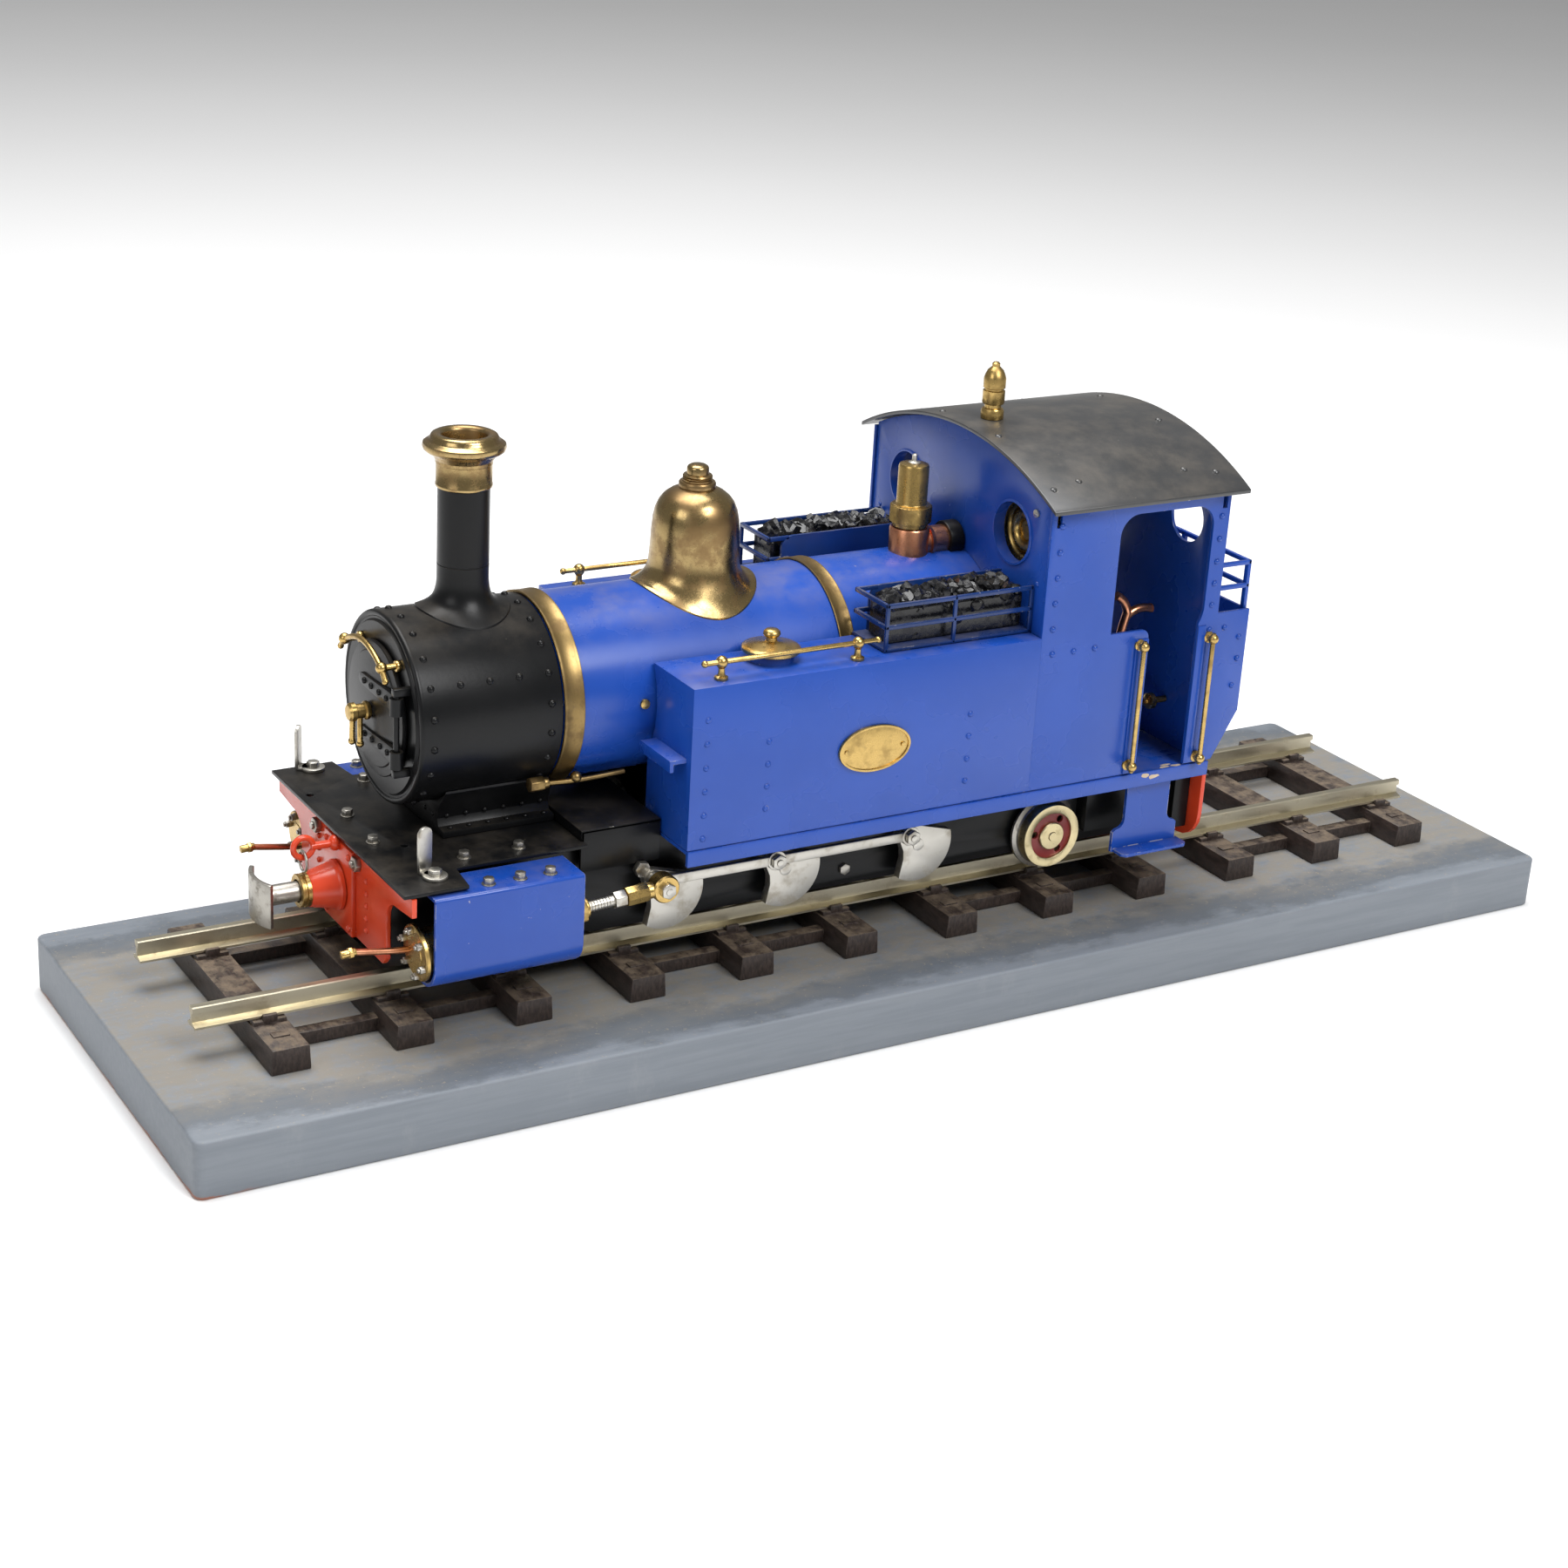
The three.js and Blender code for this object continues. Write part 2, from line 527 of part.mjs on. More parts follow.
// Blue footplate under the tanks and cab, with its edge strips and the two steps.
function rearFootplate() {
  const [z0, z1] = [49.3, 50.5];
  const pieces = [block([36.5, 108.9], [-51.2, 51.2], [z0, z1])];
  for (const s of [NEAR, FAR]) {
    pieces.push(block([-86.6, 37], [s * 27.2, s * 51.2], [z0, z1]));
    pieces.push(block([-86.6, 108.9], [s * 50.9, s * 52.4], [45.5, z1]));
    pieces.push(block([79, 96.5], [s * 48, s * 49.2], [29.5, z1 - 0.5]));
    pieces.push(block([74.6, 100.6], [s * 48, s * 49.2], [22, 30]));
    pieces.push(block([75.4, 102], [s * 48, s * 55], [22, 23.2]));
  }
  return join(pieces);
}

function cabHandrail(s, x, z0, z1) {
  const y = s * 54.6;
  const pieces = [rod('z', 0.8, z0, z1, [x, y, 0], 10)];
  for (const z of [z0 + 2, z1 - 2]) {
    pieces.push(ball([x, y, z], 1.8));
    const span = [s * 52.2, s * 54].sort((a, b) => a - b);
    pieces.push(rod('y', 1.1, ...span, [x, 0, z], COARSE));
  }
  return join(pieces);
}

function cabRoof() {
  const lean = THREE.MathUtils.radToDeg(Math.asin(ROOF.half / ROOF.r));
  const outer = arc(0, ROOF.centre, ROOF.r, 90 - lean, 90 + lean, 20);
  const inner = arc(0, ROOF.centre, ROOF.r - SHEET, 90 + lean, 90 - lean, 20);
  const pieces = [plate('x', [...outer, ...inner], ROOF.from, ROOF.to)];
  for (const span of [[38.6, 39.8], [103.2, 104.4]]) {
    pieces.push(block(span, [ROOF.pivotY - 1.8, ROOF.pivotY + 1.8], [ROOF.pivotZ - 1.8, 147.4]));
  }
  return cut(join(pieces), rod('x', 0.9, 30, 115, [0, ROOF.pivotY, ROOF.pivotZ], COARSE));
}

function whistle() {
  return turned('z', [
    [0, 158.9], [3.7, 158.9], [3.7, 161.8], [2.9, 162.2], [2.9, 163.2], [3.6, 163.6], [3.6, 171.6],
    [2.7, 174.2], [1.3, 175.2], [1.3, 176.8], [0, 176.8],
  ], [WHISTLE_X, 0, 0], COARSE);
}

function valveKnob() {
  return turned('x', [
    [0, 104.2], [1.2, 104.2], [1.2, 99.5], [2.7, 99.5], [2.7, 96.8], [1, 96.5], [1, 95.2], [0, 95.2],
  ].reverse(), [0, -32, 66], COARSE);
}

// ---------------------------------------------------------------- running gear
function crankPin(side) {
  const angle = THREE.MathUtils.degToRad(CRANK_DEG[side]);
  return [DRIVER.crank * Math.cos(angle), DRIVER.crank * Math.sin(angle)];
}

// Crank web: half a disc that balances the pin, drawn about the axle with the near side's pin angle.
function crankOutline(side) {
  const pin = crankPin('near');
  const tip = [-6.4, -10.7];
  const web = new THREE.Shape();
  web.moveTo(...tip);
  web.absarc(0, 0, 12.5, THREE.MathUtils.degToRad(239), THREE.MathUtils.degToRad(375), false);
  web.absarc(pin[0], pin[1], 3.2, THREE.MathUtils.degToRad(60), THREE.MathUtils.degToRad(190), false);
  web.quadraticCurveTo(-4.4, -3.2, ...tip);
  const turn = THREE.MathUtils.degToRad(CRANK_DEG[side] - CRANK_DEG.near);
  const points = web.getPoints(5).slice(0, -1);
  return points.map((p) => p.rotateAround(new THREE.Vector2(0, 0), turn));
}

function driverWheelset(index) {
  const x = AXLES[index];
  const at = [x, 0, DRIVER.z];
  const pieces = [rod('y', DRIVER.axle, -38, 38, at, COARSE)];
  for (const [side, s] of Object.entries(SIDES)) {
    const wheel = [
      [0, 20], [DRIVER.flange, 20], [DRIVER.flange, 21.1], [DRIVER.tread, 21.7], [DRIVER.tread, 26],
      [14, 26], [14, 24.6], [5, 24.6], [5, 27.4], [0, 27.4],
    ];
    pieces.push(turned('y', wheel.map(([r, d]) => [r, s * d]), at));
    const web = crankOutline(side).map((p) => [x + p.x, DRIVER.z + p.y]);
    pieces.push(plate('y', web, s * 36.5, s * 39.5));
    const [px, pz] = crankPin(side);
    const pin = [x + px, 0, DRIVER.z + pz];
    const span = [s * 39, s * 42.3].sort((a, b) => a - b);
    pieces.push(rod('y', 1.6, ...span, pin, COARSE));
    if (index > 0) {
      const nut = [s * 42.2, s * 44.2].sort((a, b) => a - b);
      pieces.push(rod('y', 2.5, ...nut, pin, 6));
    }
  }
  return join(pieces);
}

function trailingWheelset() {
  const at = [TRAILER.x, 0, TRAILER.z];
  const pieces = [rod('y', TRAILER.axle, -38, 38, at, COARSE)];
  const holes = [];
  for (const s of [NEAR, FAR]) {
    const wheel = [
      [0, 33.8], [TRAILER.flange, 33.8], [TRAILER.flange, 35], [TRAILER.tread, 35.6], [TRAILER.tread, 39.6],
      [7.8, 39.6], [7.8, 38.6], [4.7, 38.6], [4.7, 39.9], [1.4, 40.4], [0, 40.4],
    ];
    pieces.push(turned('y', wheel.map(([r, d]) => [r, s * d]), at));
    for (const angle of [50, 170, 290]) {
      const [hx, hz] = arc(TRAILER.x, TRAILER.z, 6.2, angle, angle, 1)[0];
      holes.push(rod('y', 1.3, Math.min(s * 33, s * 40), Math.max(s * 33, s * 40), [hx, 0, hz], 8));
    }
  }
  return cut(join(pieces), holes);
}

function couplingRod(side) {
  const s = SIDES[side];
  const [px, pz] = crankPin(side);
  const span = [s * 39.8, s * 41.9].sort((a, b) => a - b);
  const z = DRIVER.z + pz;
  const pieces = [block([AXLES[0] + px, AXLES[2] + px], span, [z - 1.6, z + 1.6])];
  const holes = [];
  for (const x of AXLES) {
    pieces.push(rod('y', 3.2, ...span, [x + px, 0, z], ROUND));
    holes.push(rod('y', 1.9, -50, 50, [x + px, 0, z], COARSE));
  }
  return cut(join(pieces), holes);
}

// Where the piston rod's big end stands, seen from the cylinder's trunnion.
function pistonReach(side) {
  const [px, pz] = crankPin(side);
  const along = AXLES[0] + px - TRUNNION.x;
  const up = DRIVER.z + pz - TRUNNION.z;
  return { reach: Math.hypot(along, up), tilt: Math.atan2(up, along) };
}

const atTrunnion = (side) => ({
  at: [TRUNNION.x, SIDES[side] * TRUNNION.y, TRUNNION.z],
  turn: -pistonReach(side).tilt,
});

// Rocking cylinder about its trunnion: barrel open at the gland, front cover and drain pipe.
function cylinder(s) {
  const barrel = turned('x', [
    [0, -27], [7.9, -27], [7.9, -24.6], [6.6, -24.6], [6.6, 20], [4.4, 20], [4.4, 27.8],
    [3.2, 28.2], [3.2, 29], [1.8, 29], [1.8, 17], [5.4, 17], [5.4, -20], [0, -20],
  ]);
  const seat = [-s * 5, -s * 7.6].sort((a, b) => a - b);
  const trunnion = rod('y', 3.5, ...seat, [0, 0, 0], COARSE);
  const y = -s * 4.7;
  const pipe = wire([[-26, y, -1], [-34, y, 0.8], [-43, y, 2.8]], 1);
  const nozzle = rod('x', 1.5, -46.6, -42, [0, y, 2.8], COARSE);
  return join(barrel, trunnion, pipe, nozzle);
}

// Piston, rod, lock nut and the brass fork that reaches to the first crankpin.
function piston(side) {
  const s = SIDES[side];
  const { reach } = pistonReach(side);
  const head = reach - 66.7;
  const pieces = [rod('x', 5, head - 2, head + 2)];
  pieces.push(rod('x', 1.5, head, reach - 12));
  pieces.push(rod('x', 2.9, reach - 17, reach - 13, [0, 0, 0], 6));
  pieces.push(block([reach - 13.2, reach - 2], [-2.6, 2.6], [-2.6, 2.6]));
  pieces.push(rod('y', 4.3, -2.6, 2.6, [reach, 0, 0]));
  const nut = [s * 2.4, s * 4.5].sort((a, b) => a - b);
  pieces.push(rod('y', 2.7, ...nut, [reach, 0, 0], 6));
  return join(pieces);
}

function cylinderCover(s) {
  const outer = [[38.8, 50.3], ...arc(52, 48.3, 2, 90, 0, 3), ...arc(46, 28.5, 8, 0, -90, 5), [40, 20.5]];
  const inner = [
    [40, 21.7], ...arc(46, 28.5, 6.8, -90, 0, 5), ...arc(52, 48.3, 0.8, 0, 90, 2), [38.8, 49.1],
  ];
  return plate('x', [...outer, ...inner].map(([u, v]) => [s * u, v]), -168.5, -121.2);
}

// ---------------------------------------------------------------- assembly
add('plinth', block([-BOARD.length / 2, BOARD.length / 2], [-BOARD.width / 2, BOARD.width / 2],
  [-BOARD.thick, 0]), 'board');
add('track_sleepers', sleepers(), 'sleeper');
add('main_frame', mainFrame(), 'black');
add('front_beam', frontBeam(), 'red');
add('buffer_housing', bufferHousing(), 'red');
add('buffer_head', bufferHead(), 'steel');
add('link_ring', ring('x', [-187, 0, 43.9], 3.1, 0.45), 'steel');
add('rear_beam', rearBeam(), 'red');
add('running_plate', runningPlate(), 'black');
add('saddle', saddle(), 'black');
add('smokebox', smokebox(), 'black');
add('smokebox_door', smokeboxDoor(), 'black');
add('door_handle', doorHandle(), 'brass');
add('boiler_barrel', boiler(), 'blue');
add('band_front', band(-116.8, -110.3, 29.6), 'brass');
add('band_rear', band(-21.5, -16.3, 29.3), 'brass');
add('chimney', chimney(), 'black');
add('chimney_cap', chimneyCap(), 'brass');
add('dome', dome(), 'brass');
add('valve_bush', valveBush(), 'copper');
add('safety_valve', safetyValve(), 'brass');
add('cab_front_wall', cabFront(), 'blue');
add('cab_rear_wall', cabRear(), 'blue');
add('rear_footplate', rearFootplate(), 'blue');
add('cab_roof', cabRoof(), 'black');
add('whistle', whistle(), 'brass');
add('cab_pipe', cabPipe(), 'copper');
add('valve_knob', valveKnob(), 'brass');
AXLES.forEach((_, index) => add(`driving_wheelset_${index + 1}`, driverWheelset(index), 'steel'));
add('trailing_wheelset', trailingWheelset(), 'brass');
for (const [side, s] of Object.entries(SIDES)) {
  add(`rail_${side}`, railBar(s), 'rail');
  add(`tank_${side}`, tank(s), 'blue');
  add(`filler_lid_${side}`, fillerLid(s), 'brass');
  add(`tank_handrail_${side}`, tankHandrail(s), 'brass');
  add(`nameplate_${side}`, nameplate(s), 'brass');
  add(`coal_tray_${side}`, coalTray(s), 'blue');
  add(`coal_${side}`, coalHeap(s), 'coal');
  add(`cab_side_${side}`, cabSide(s), 'blue');
  add(`door_handrail_front_${side}`, cabHandrail(s, 75.1, 52.2, 97.2), 'brass');
  add(`door_handrail_rear_${side}`, cabHandrail(s, 103, 51, 96.4), 'brass');
  add(`coupling_rod_${side}`, couplingRod(side), 'steel');
  add(`cylinder_${side}`, cylinder(s), 'brass', atTrunnion(side));
  add(`piston_${side}`, piston(side), 'steel', atTrunnion(side));
  add(`cylinder_cover_${side}`, cylinderCover(s), 'blue');
}

export default locomotive;
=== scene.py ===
"""Looks of a model side-tank steam locomotive on a display length of track.

Every piece is built in millimetres above the top of the display board, along the
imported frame's own axes: +X along the track towards the cab, +Y to the far side,
+Z up. ``Piece.place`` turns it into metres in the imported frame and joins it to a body.
"""

import json
import logging
import math
import random
from collections.abc import Callable, Iterable, Sequence
from dataclasses import dataclass
from enum import Enum

import bmesh
import bpy
from mathutils import Matrix, Vector


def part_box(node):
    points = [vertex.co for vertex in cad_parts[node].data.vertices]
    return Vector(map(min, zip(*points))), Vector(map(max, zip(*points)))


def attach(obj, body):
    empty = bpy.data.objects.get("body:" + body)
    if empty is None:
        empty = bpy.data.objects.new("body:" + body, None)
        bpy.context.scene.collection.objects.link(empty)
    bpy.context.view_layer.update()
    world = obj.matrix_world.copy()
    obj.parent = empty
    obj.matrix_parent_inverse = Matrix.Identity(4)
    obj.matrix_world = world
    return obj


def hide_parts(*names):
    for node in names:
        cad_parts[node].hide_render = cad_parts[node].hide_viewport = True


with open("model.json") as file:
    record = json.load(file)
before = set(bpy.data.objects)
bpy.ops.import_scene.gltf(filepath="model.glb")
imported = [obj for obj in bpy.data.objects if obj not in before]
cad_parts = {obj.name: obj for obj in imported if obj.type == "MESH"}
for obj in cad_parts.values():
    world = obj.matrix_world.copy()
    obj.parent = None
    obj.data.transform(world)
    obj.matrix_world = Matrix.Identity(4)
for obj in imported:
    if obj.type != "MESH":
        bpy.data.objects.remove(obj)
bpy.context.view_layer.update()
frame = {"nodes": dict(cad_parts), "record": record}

LOG = logging.getLogger("locomotive")
MM = 0.001
BOARD_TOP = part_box("plinth")[1][2]
LOCO = "locomotive"
BASE = "display_base"
Point = tuple[float, float, float]
Flat = tuple[float, float]


# ------------------------------------------------------------------ small helpers
class Side(Enum):
    """The two sides of the engine, with the sign of their Y."""

    NEAR = ("near", -1)
    FAR = ("far", 1)

    @property
    def word(self) -> str:
        """The word that node and body names end with."""
        return self.value[0]

    @property
    def sign(self) -> int:
        """The sign of Y on this side."""
        return self.value[1]

    def span(self, a: float, b: float) -> Flat:
        """Two distances from the middle as a rising pair of Y values."""
        low, high = sorted((self.sign * a, self.sign * b))
        return low, high


@dataclass(frozen=True)
class Extent:
    """A CAD node's box, in millimetres above the board."""

    lo: Vector
    hi: Vector

    @classmethod
    def of(cls, node: str) -> "Extent":
        """Reads a node's box.

        Args:
            node: The CAD node's name.

        Returns:
            Its extent in millimetres.
        """
        low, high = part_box(node)
        lift = Vector((0, 0, BOARD_TOP))
        return cls((Vector(low) - lift) / MM, (Vector(high) - lift) / MM)

    @property
    def mid(self) -> Vector:
        """The middle of the box."""
        return (self.lo + self.hi) / 2


def arc(cu: float, cv: float, radius: float, start: float, end: float, steps: int) -> list[Flat]:
    """Points along an arc.

    Args:
        cu: Centre, first direction.
        cv: Centre, second direction.
        radius: Radius.
        start: First angle in degrees.
        end: Last angle in degrees.
        steps: Number of steps.

    Returns:
        The points, both ends included.
    """
    angles = [math.radians(start + (end - start) * i / steps) for i in range(steps + 1)]
    return [(cu + radius * math.cos(a), cv + radius * math.sin(a)) for a in angles]


def ease(low: float, high: float, value: float) -> float:
    """Smooth step from 0 at low to 1 at high."""
    t = min(1.0, max(0.0, (value - low) / (high - low)))
    return t * t * (3 - 2 * t)


# ------------------------------------------------------------------ shader expressions
class Sock:
    """A shader socket that Python expressions work on."""

    def __init__(self, tree: bpy.types.NodeTree, socket: bpy.types.NodeSocket) -> None:
        """Wraps an output socket."""
        self.tree = tree
        self.socket = socket

    def _math(self, operation: str, *values: "Sock | float") -> "Sock":
        """Adds one Math node."""
        node = self.tree.nodes.new("ShaderNodeMath")
        node.operation = operation
        for slot, value in zip(node.inputs, values):
            if isinstance(value, Sock):
                self.tree.links.new(value.socket, slot)
            else:
                slot.default_value = value
        return Sock(self.tree, node.outputs[0])

    def __add__(self, other: "Sock | float") -> "Sock":
        """Sum."""
        return self._math("ADD", self, other)

    __radd__ = __add__

    def __sub__(self, other: "Sock | float") -> "Sock":
        """Difference."""
        return self._math("SUBTRACT", self, other)

    def __rsub__(self, other: float) -> "Sock":
        """Difference from a number."""
        return self._math("SUBTRACT", other, self)

    def __mul__(self, other: "Sock | float") -> "Sock":
        """Product."""
        return self._math("MULTIPLY", self, other)

    __rmul__ = __mul__

    def step(self, low: float, high: float) -> "Sock":
        """Smooth step from 0 at low to 1 at high; low may be above high."""
        node = self.tree.nodes.new("ShaderNodeMapRange")
        node.interpolation_type = "SMOOTHSTEP"
        flipped = low > high
        self.tree.links.new(self.socket, node.inputs["Value"])
        node.inputs["From Min"].default_value = min(low, high)
        node.inputs["From Max"].default_value = max(low, high)
        node.inputs["To Min"].default_value = 1.0 if flipped else 0.0
        node.inputs["To Max"].default_value = 0.0 if flipped else 1.0
        return Sock(self.tree, node.outputs["Result"])


Colour = tuple[float, float, float]


class Material:
    """One material: a Principled shader and the nodes that feed it."""

    def __init__(self, name: str) -> None:
        """Starts an empty material."""
        self.data = bpy.data.materials.new(name)
        self.data.use_nodes = True
        self.tree = self.data.node_tree
        self.tree.nodes.clear()
        self.shader = self.tree.nodes.new("ShaderNodeBsdfPrincipled")
        out = self.tree.nodes.new("ShaderNodeOutputMaterial")
        self.tree.links.new(self.shader.outputs[0], out.inputs[0])

    def node(self, kind: str, settings: dict | None = None, output: str | int = 0,
             **sockets: "Sock | float | Sequence[float]") -> Sock:
        """Adds any node.

        Args:
            kind: The node's type.
            settings: Its own settings, made first.
            output: Which output to return.
            **sockets: Values or links for its inputs, by name with _ for a space.

        Returns:
            The output, ready for expressions.
        """
        made = self.tree.nodes.new(kind)
        for key, value in (settings or {}).items():
            setattr(made, key, value)
        for key, value in sockets.items():
            self._feed(made.inputs[key.replace("_", " ")], value)
        return Sock(self.tree, made.outputs[output])

    def _feed(self, slot: bpy.types.NodeSocket, value: "Sock | float | Sequence[float]") -> None:
        """Links or sets one input."""
        if isinstance(value, Sock):
            self.tree.links.new(value.socket, slot)
        elif slot.type == "RGBA":
            slot.default_value = (*value, 1.0)
        else:
            slot.default_value = value

    def set(self, **sockets: "Sock | float | Sequence[float]") -> "Material":
        """Feeds the shader's own sockets."""
        for key, value in sockets.items():
            self._feed(self.shader.inputs[key.replace("_", " ")], value)
        return self

    def place(self, stretch: Point = (1, 1, 1), shift: Point = (0, 0, 0)) -> Sock:
        """Object coordinates in millimetres, stretched and shifted."""
        where = self.node("ShaderNodeTexCoord", output="Object")
        scale = tuple(s / MM for s in stretch)
        return self.node("ShaderNodeMapping", Vector=where, Scale=scale, Location=shift)

    def noise(self, grain: float, detail: float = 3.0, rough: float = 0.55,
              stretch: Point = (1, 1, 1), shift: Point = (0, 0, 0)) -> Sock:
        """Noise whose blotches are about ``grain`` millimetres across."""
        return self.node("ShaderNodeTexNoise", Vector=self.place(stretch, shift), Scale=1 / grain,
                         Detail=detail, Roughness=rough)

    def mix(self, factor: "Sock | float", first: "Sock | Colour", second: "Sock | Colour",
            blend: str = "MIX") -> Sock:
        """Mixes two colours."""
        made = self.tree.nodes.new("ShaderNodeMix")
        made.data_type = "RGBA"
        made.blend_type = blend
        self._feed(made.inputs[0], factor)
        self._feed(made.inputs[6], first)
        self._feed(made.inputs[7], second)
        return Sock(self.tree, made.outputs[2])

    def upward(self) -> Sock:
        """1 on faces that look up, 0 on walls and undersides."""
        normal = self.node("ShaderNodeNewGeometry", output="Normal")
        height = self.node("ShaderNodeSeparateXYZ", output="Z", Vector=normal)
        return height.step(0.55, 0.95)

    def edges(self, radius: float) -> Sock:
        """1 along outside and inside edges, within ``radius`` millimetres."""
        soft = self.node("ShaderNodeBevel", {"samples": 6}, Radius=radius * MM)
        hard = self.node("ShaderNodeNewGeometry", output="Normal")
        same = self.node("ShaderNodeVectorMath", {"operation": "DOT_PRODUCT"}, output="Value")
        self.tree.links.new(soft.socket, same.socket.node.inputs[0])
        self.tree.links.new(hard.socket, same.socket.node.inputs[1])
        return same.step(0.985, 0.9)

    def bump(self, height: Sock, depth: float, strength: float = 1.0) -> "Material":
        """Adds relief of up to ``depth`` millimetres."""
        self.set(Normal=self.node("ShaderNodeBump", Height=height, Distance=depth * MM,
                                  Strength=strength))
        return self


# ------------------------------------------------------------------ finishes
@dataclass(frozen=True)
class Enamel:
    """Brushed or sprayed model paint, with chips, dust and a little unevenness."""

    name: str
    colour: Colour
    worn: Colour
    roughness: float
    chip: Colour = (0.5, 0.47, 0.42)
    chips: float = 0.5
    dust: float = 0.25
    ripple: float = 0.03
    shine: float = 0.5

    def make(self) -> bpy.types.Material:
        """Builds the material."""
        m = Material(self.name)
        cloud = m.noise(22, 3)
        base = m.mix(cloud.step(0.3, 0.75), self.colour, self.worn)
        specks = m.noise(1.6, 2, 0.6).step(0.66, 0.74)
        base = m.mix(specks * 0.2, base, self.worn)
        film = m.upward() * m.noise(14, 5, 0.65, shift=(3, 9, 1)).step(0.35, 0.75) * self.dust
        base = m.mix(film, base, (0.24, 0.2, 0.15))
        grit = m.noise(2.2, 2, 0.6, shift=(31, 5, 7)).step(0.74, 0.8) * m.upward() * self.dust
        base = m.mix(grit, base, (0.45, 0.38, 0.28))
        bare = m.noise(5, 4, 0.7, shift=(7, 2, 5)).step(0.7 - 0.2 * self.chips, 0.73 - 0.19 * self.chips)
        spots = m.noise(2.6, 3, 0.7, shift=(1, 8, 3)).step(0.8 - 0.06 * self.chips,
                                                           0.81 - 0.06 * self.chips)
        flake = m.edges(0.45) * bare + spots * 0.7
        base = m.mix(flake * 0.8, base, self.chip)
        m.set(Base_Color=base, Specular_IOR_Level=self.shine)
        m.set(Roughness=cloud * 0.12 + film * 0.3 + flake * 0.2 + (self.roughness - 0.06))
        orange_peel = m.noise(1.1, 2) * 0.5 + m.noise(6, 3) * 0.5 - flake * 0.8
        return m.bump(orange_peel, self.ripple, 0.6).data


@dataclass(frozen=True)
class Metal:
    """Bare metal with tarnish, turning or drawing marks and small scratches."""

    name: str
    colour: Colour
    tarnish: Colour
    roughness: float
    blotch: float = 6.0
    cover: float = 0.5
    lines: Point = (1, 1, 1)
    grime: float = 0.2

    def make(self) -> bpy.types.Material:
        """Builds the material."""
        m = Material(self.name)
        patches = m.noise(self.blotch, 6, 0.62).step(0.62 - 0.3 * self.cover, 0.78 - 0.2 * self.cover)
        spots = m.noise(1.3, 3, 0.7, shift=(11, 3, 8)).step(0.62, 0.74)
        base = m.mix(patches * 0.8, self.colour, self.tarnish)
        base = m.mix(spots * 0.35, base, self.tarnish)
        dirt = m.noise(3.4, 4, 0.7, shift=(2, 17, 4)).step(0.55, 0.8) * self.grime
        base = m.mix(dirt, base, (0.09, 0.065, 0.035))
        streaks = m.noise(0.5, 2, 0.5, stretch=self.lines)
        m.set(Base_Color=base, Metallic=1.0 - dirt * 0.5)
        m.set(Roughness=patches * 0.16 + dirt * 0.3 + streaks * 0.16 + (self.roughness - 0.08))
        return m.bump(streaks * 0.5 + spots * 0.5, 0.02, 0.5).data


@dataclass(frozen=True)
class SleeperPlastic:
    """Dark moulded plastic with fine grain, brown dust on what looks up and a painted highlight along its
    edges.
    """

    name: str

    def make(self) -> bpy.types.Material:
        """Builds the material."""
        m = Material(self.name)
        grain = m.noise(0.8, 4, 0.65, stretch=(1, 0.12, 0.35))
        base = m.mix(grain.step(0.35, 0.7), (0.024, 0.0165, 0.014), (0.052, 0.036, 0.03))
        # Lighter in blotches along the edges: a painted highlight where the bevels catch the light.
        wear_and_highlight = m.edges(0.6) * m.noise(4, 4, 0.7).step(0.42, 0.6)
        base = m.mix(wear_and_highlight * 0.5, base, (0.16, 0.13, 0.115))
        dust = m.upward() * m.noise(5, 6, 0.72).step(0.36, 0.66)
        base = m.mix(dust * 0.7, base, (0.2, 0.15, 0.1))
        m.set(Base_Color=base, Roughness=dust * 0.35 + grain * 0.2 + 0.32)
        return m.bump(grain, 0.35, 0.8).data


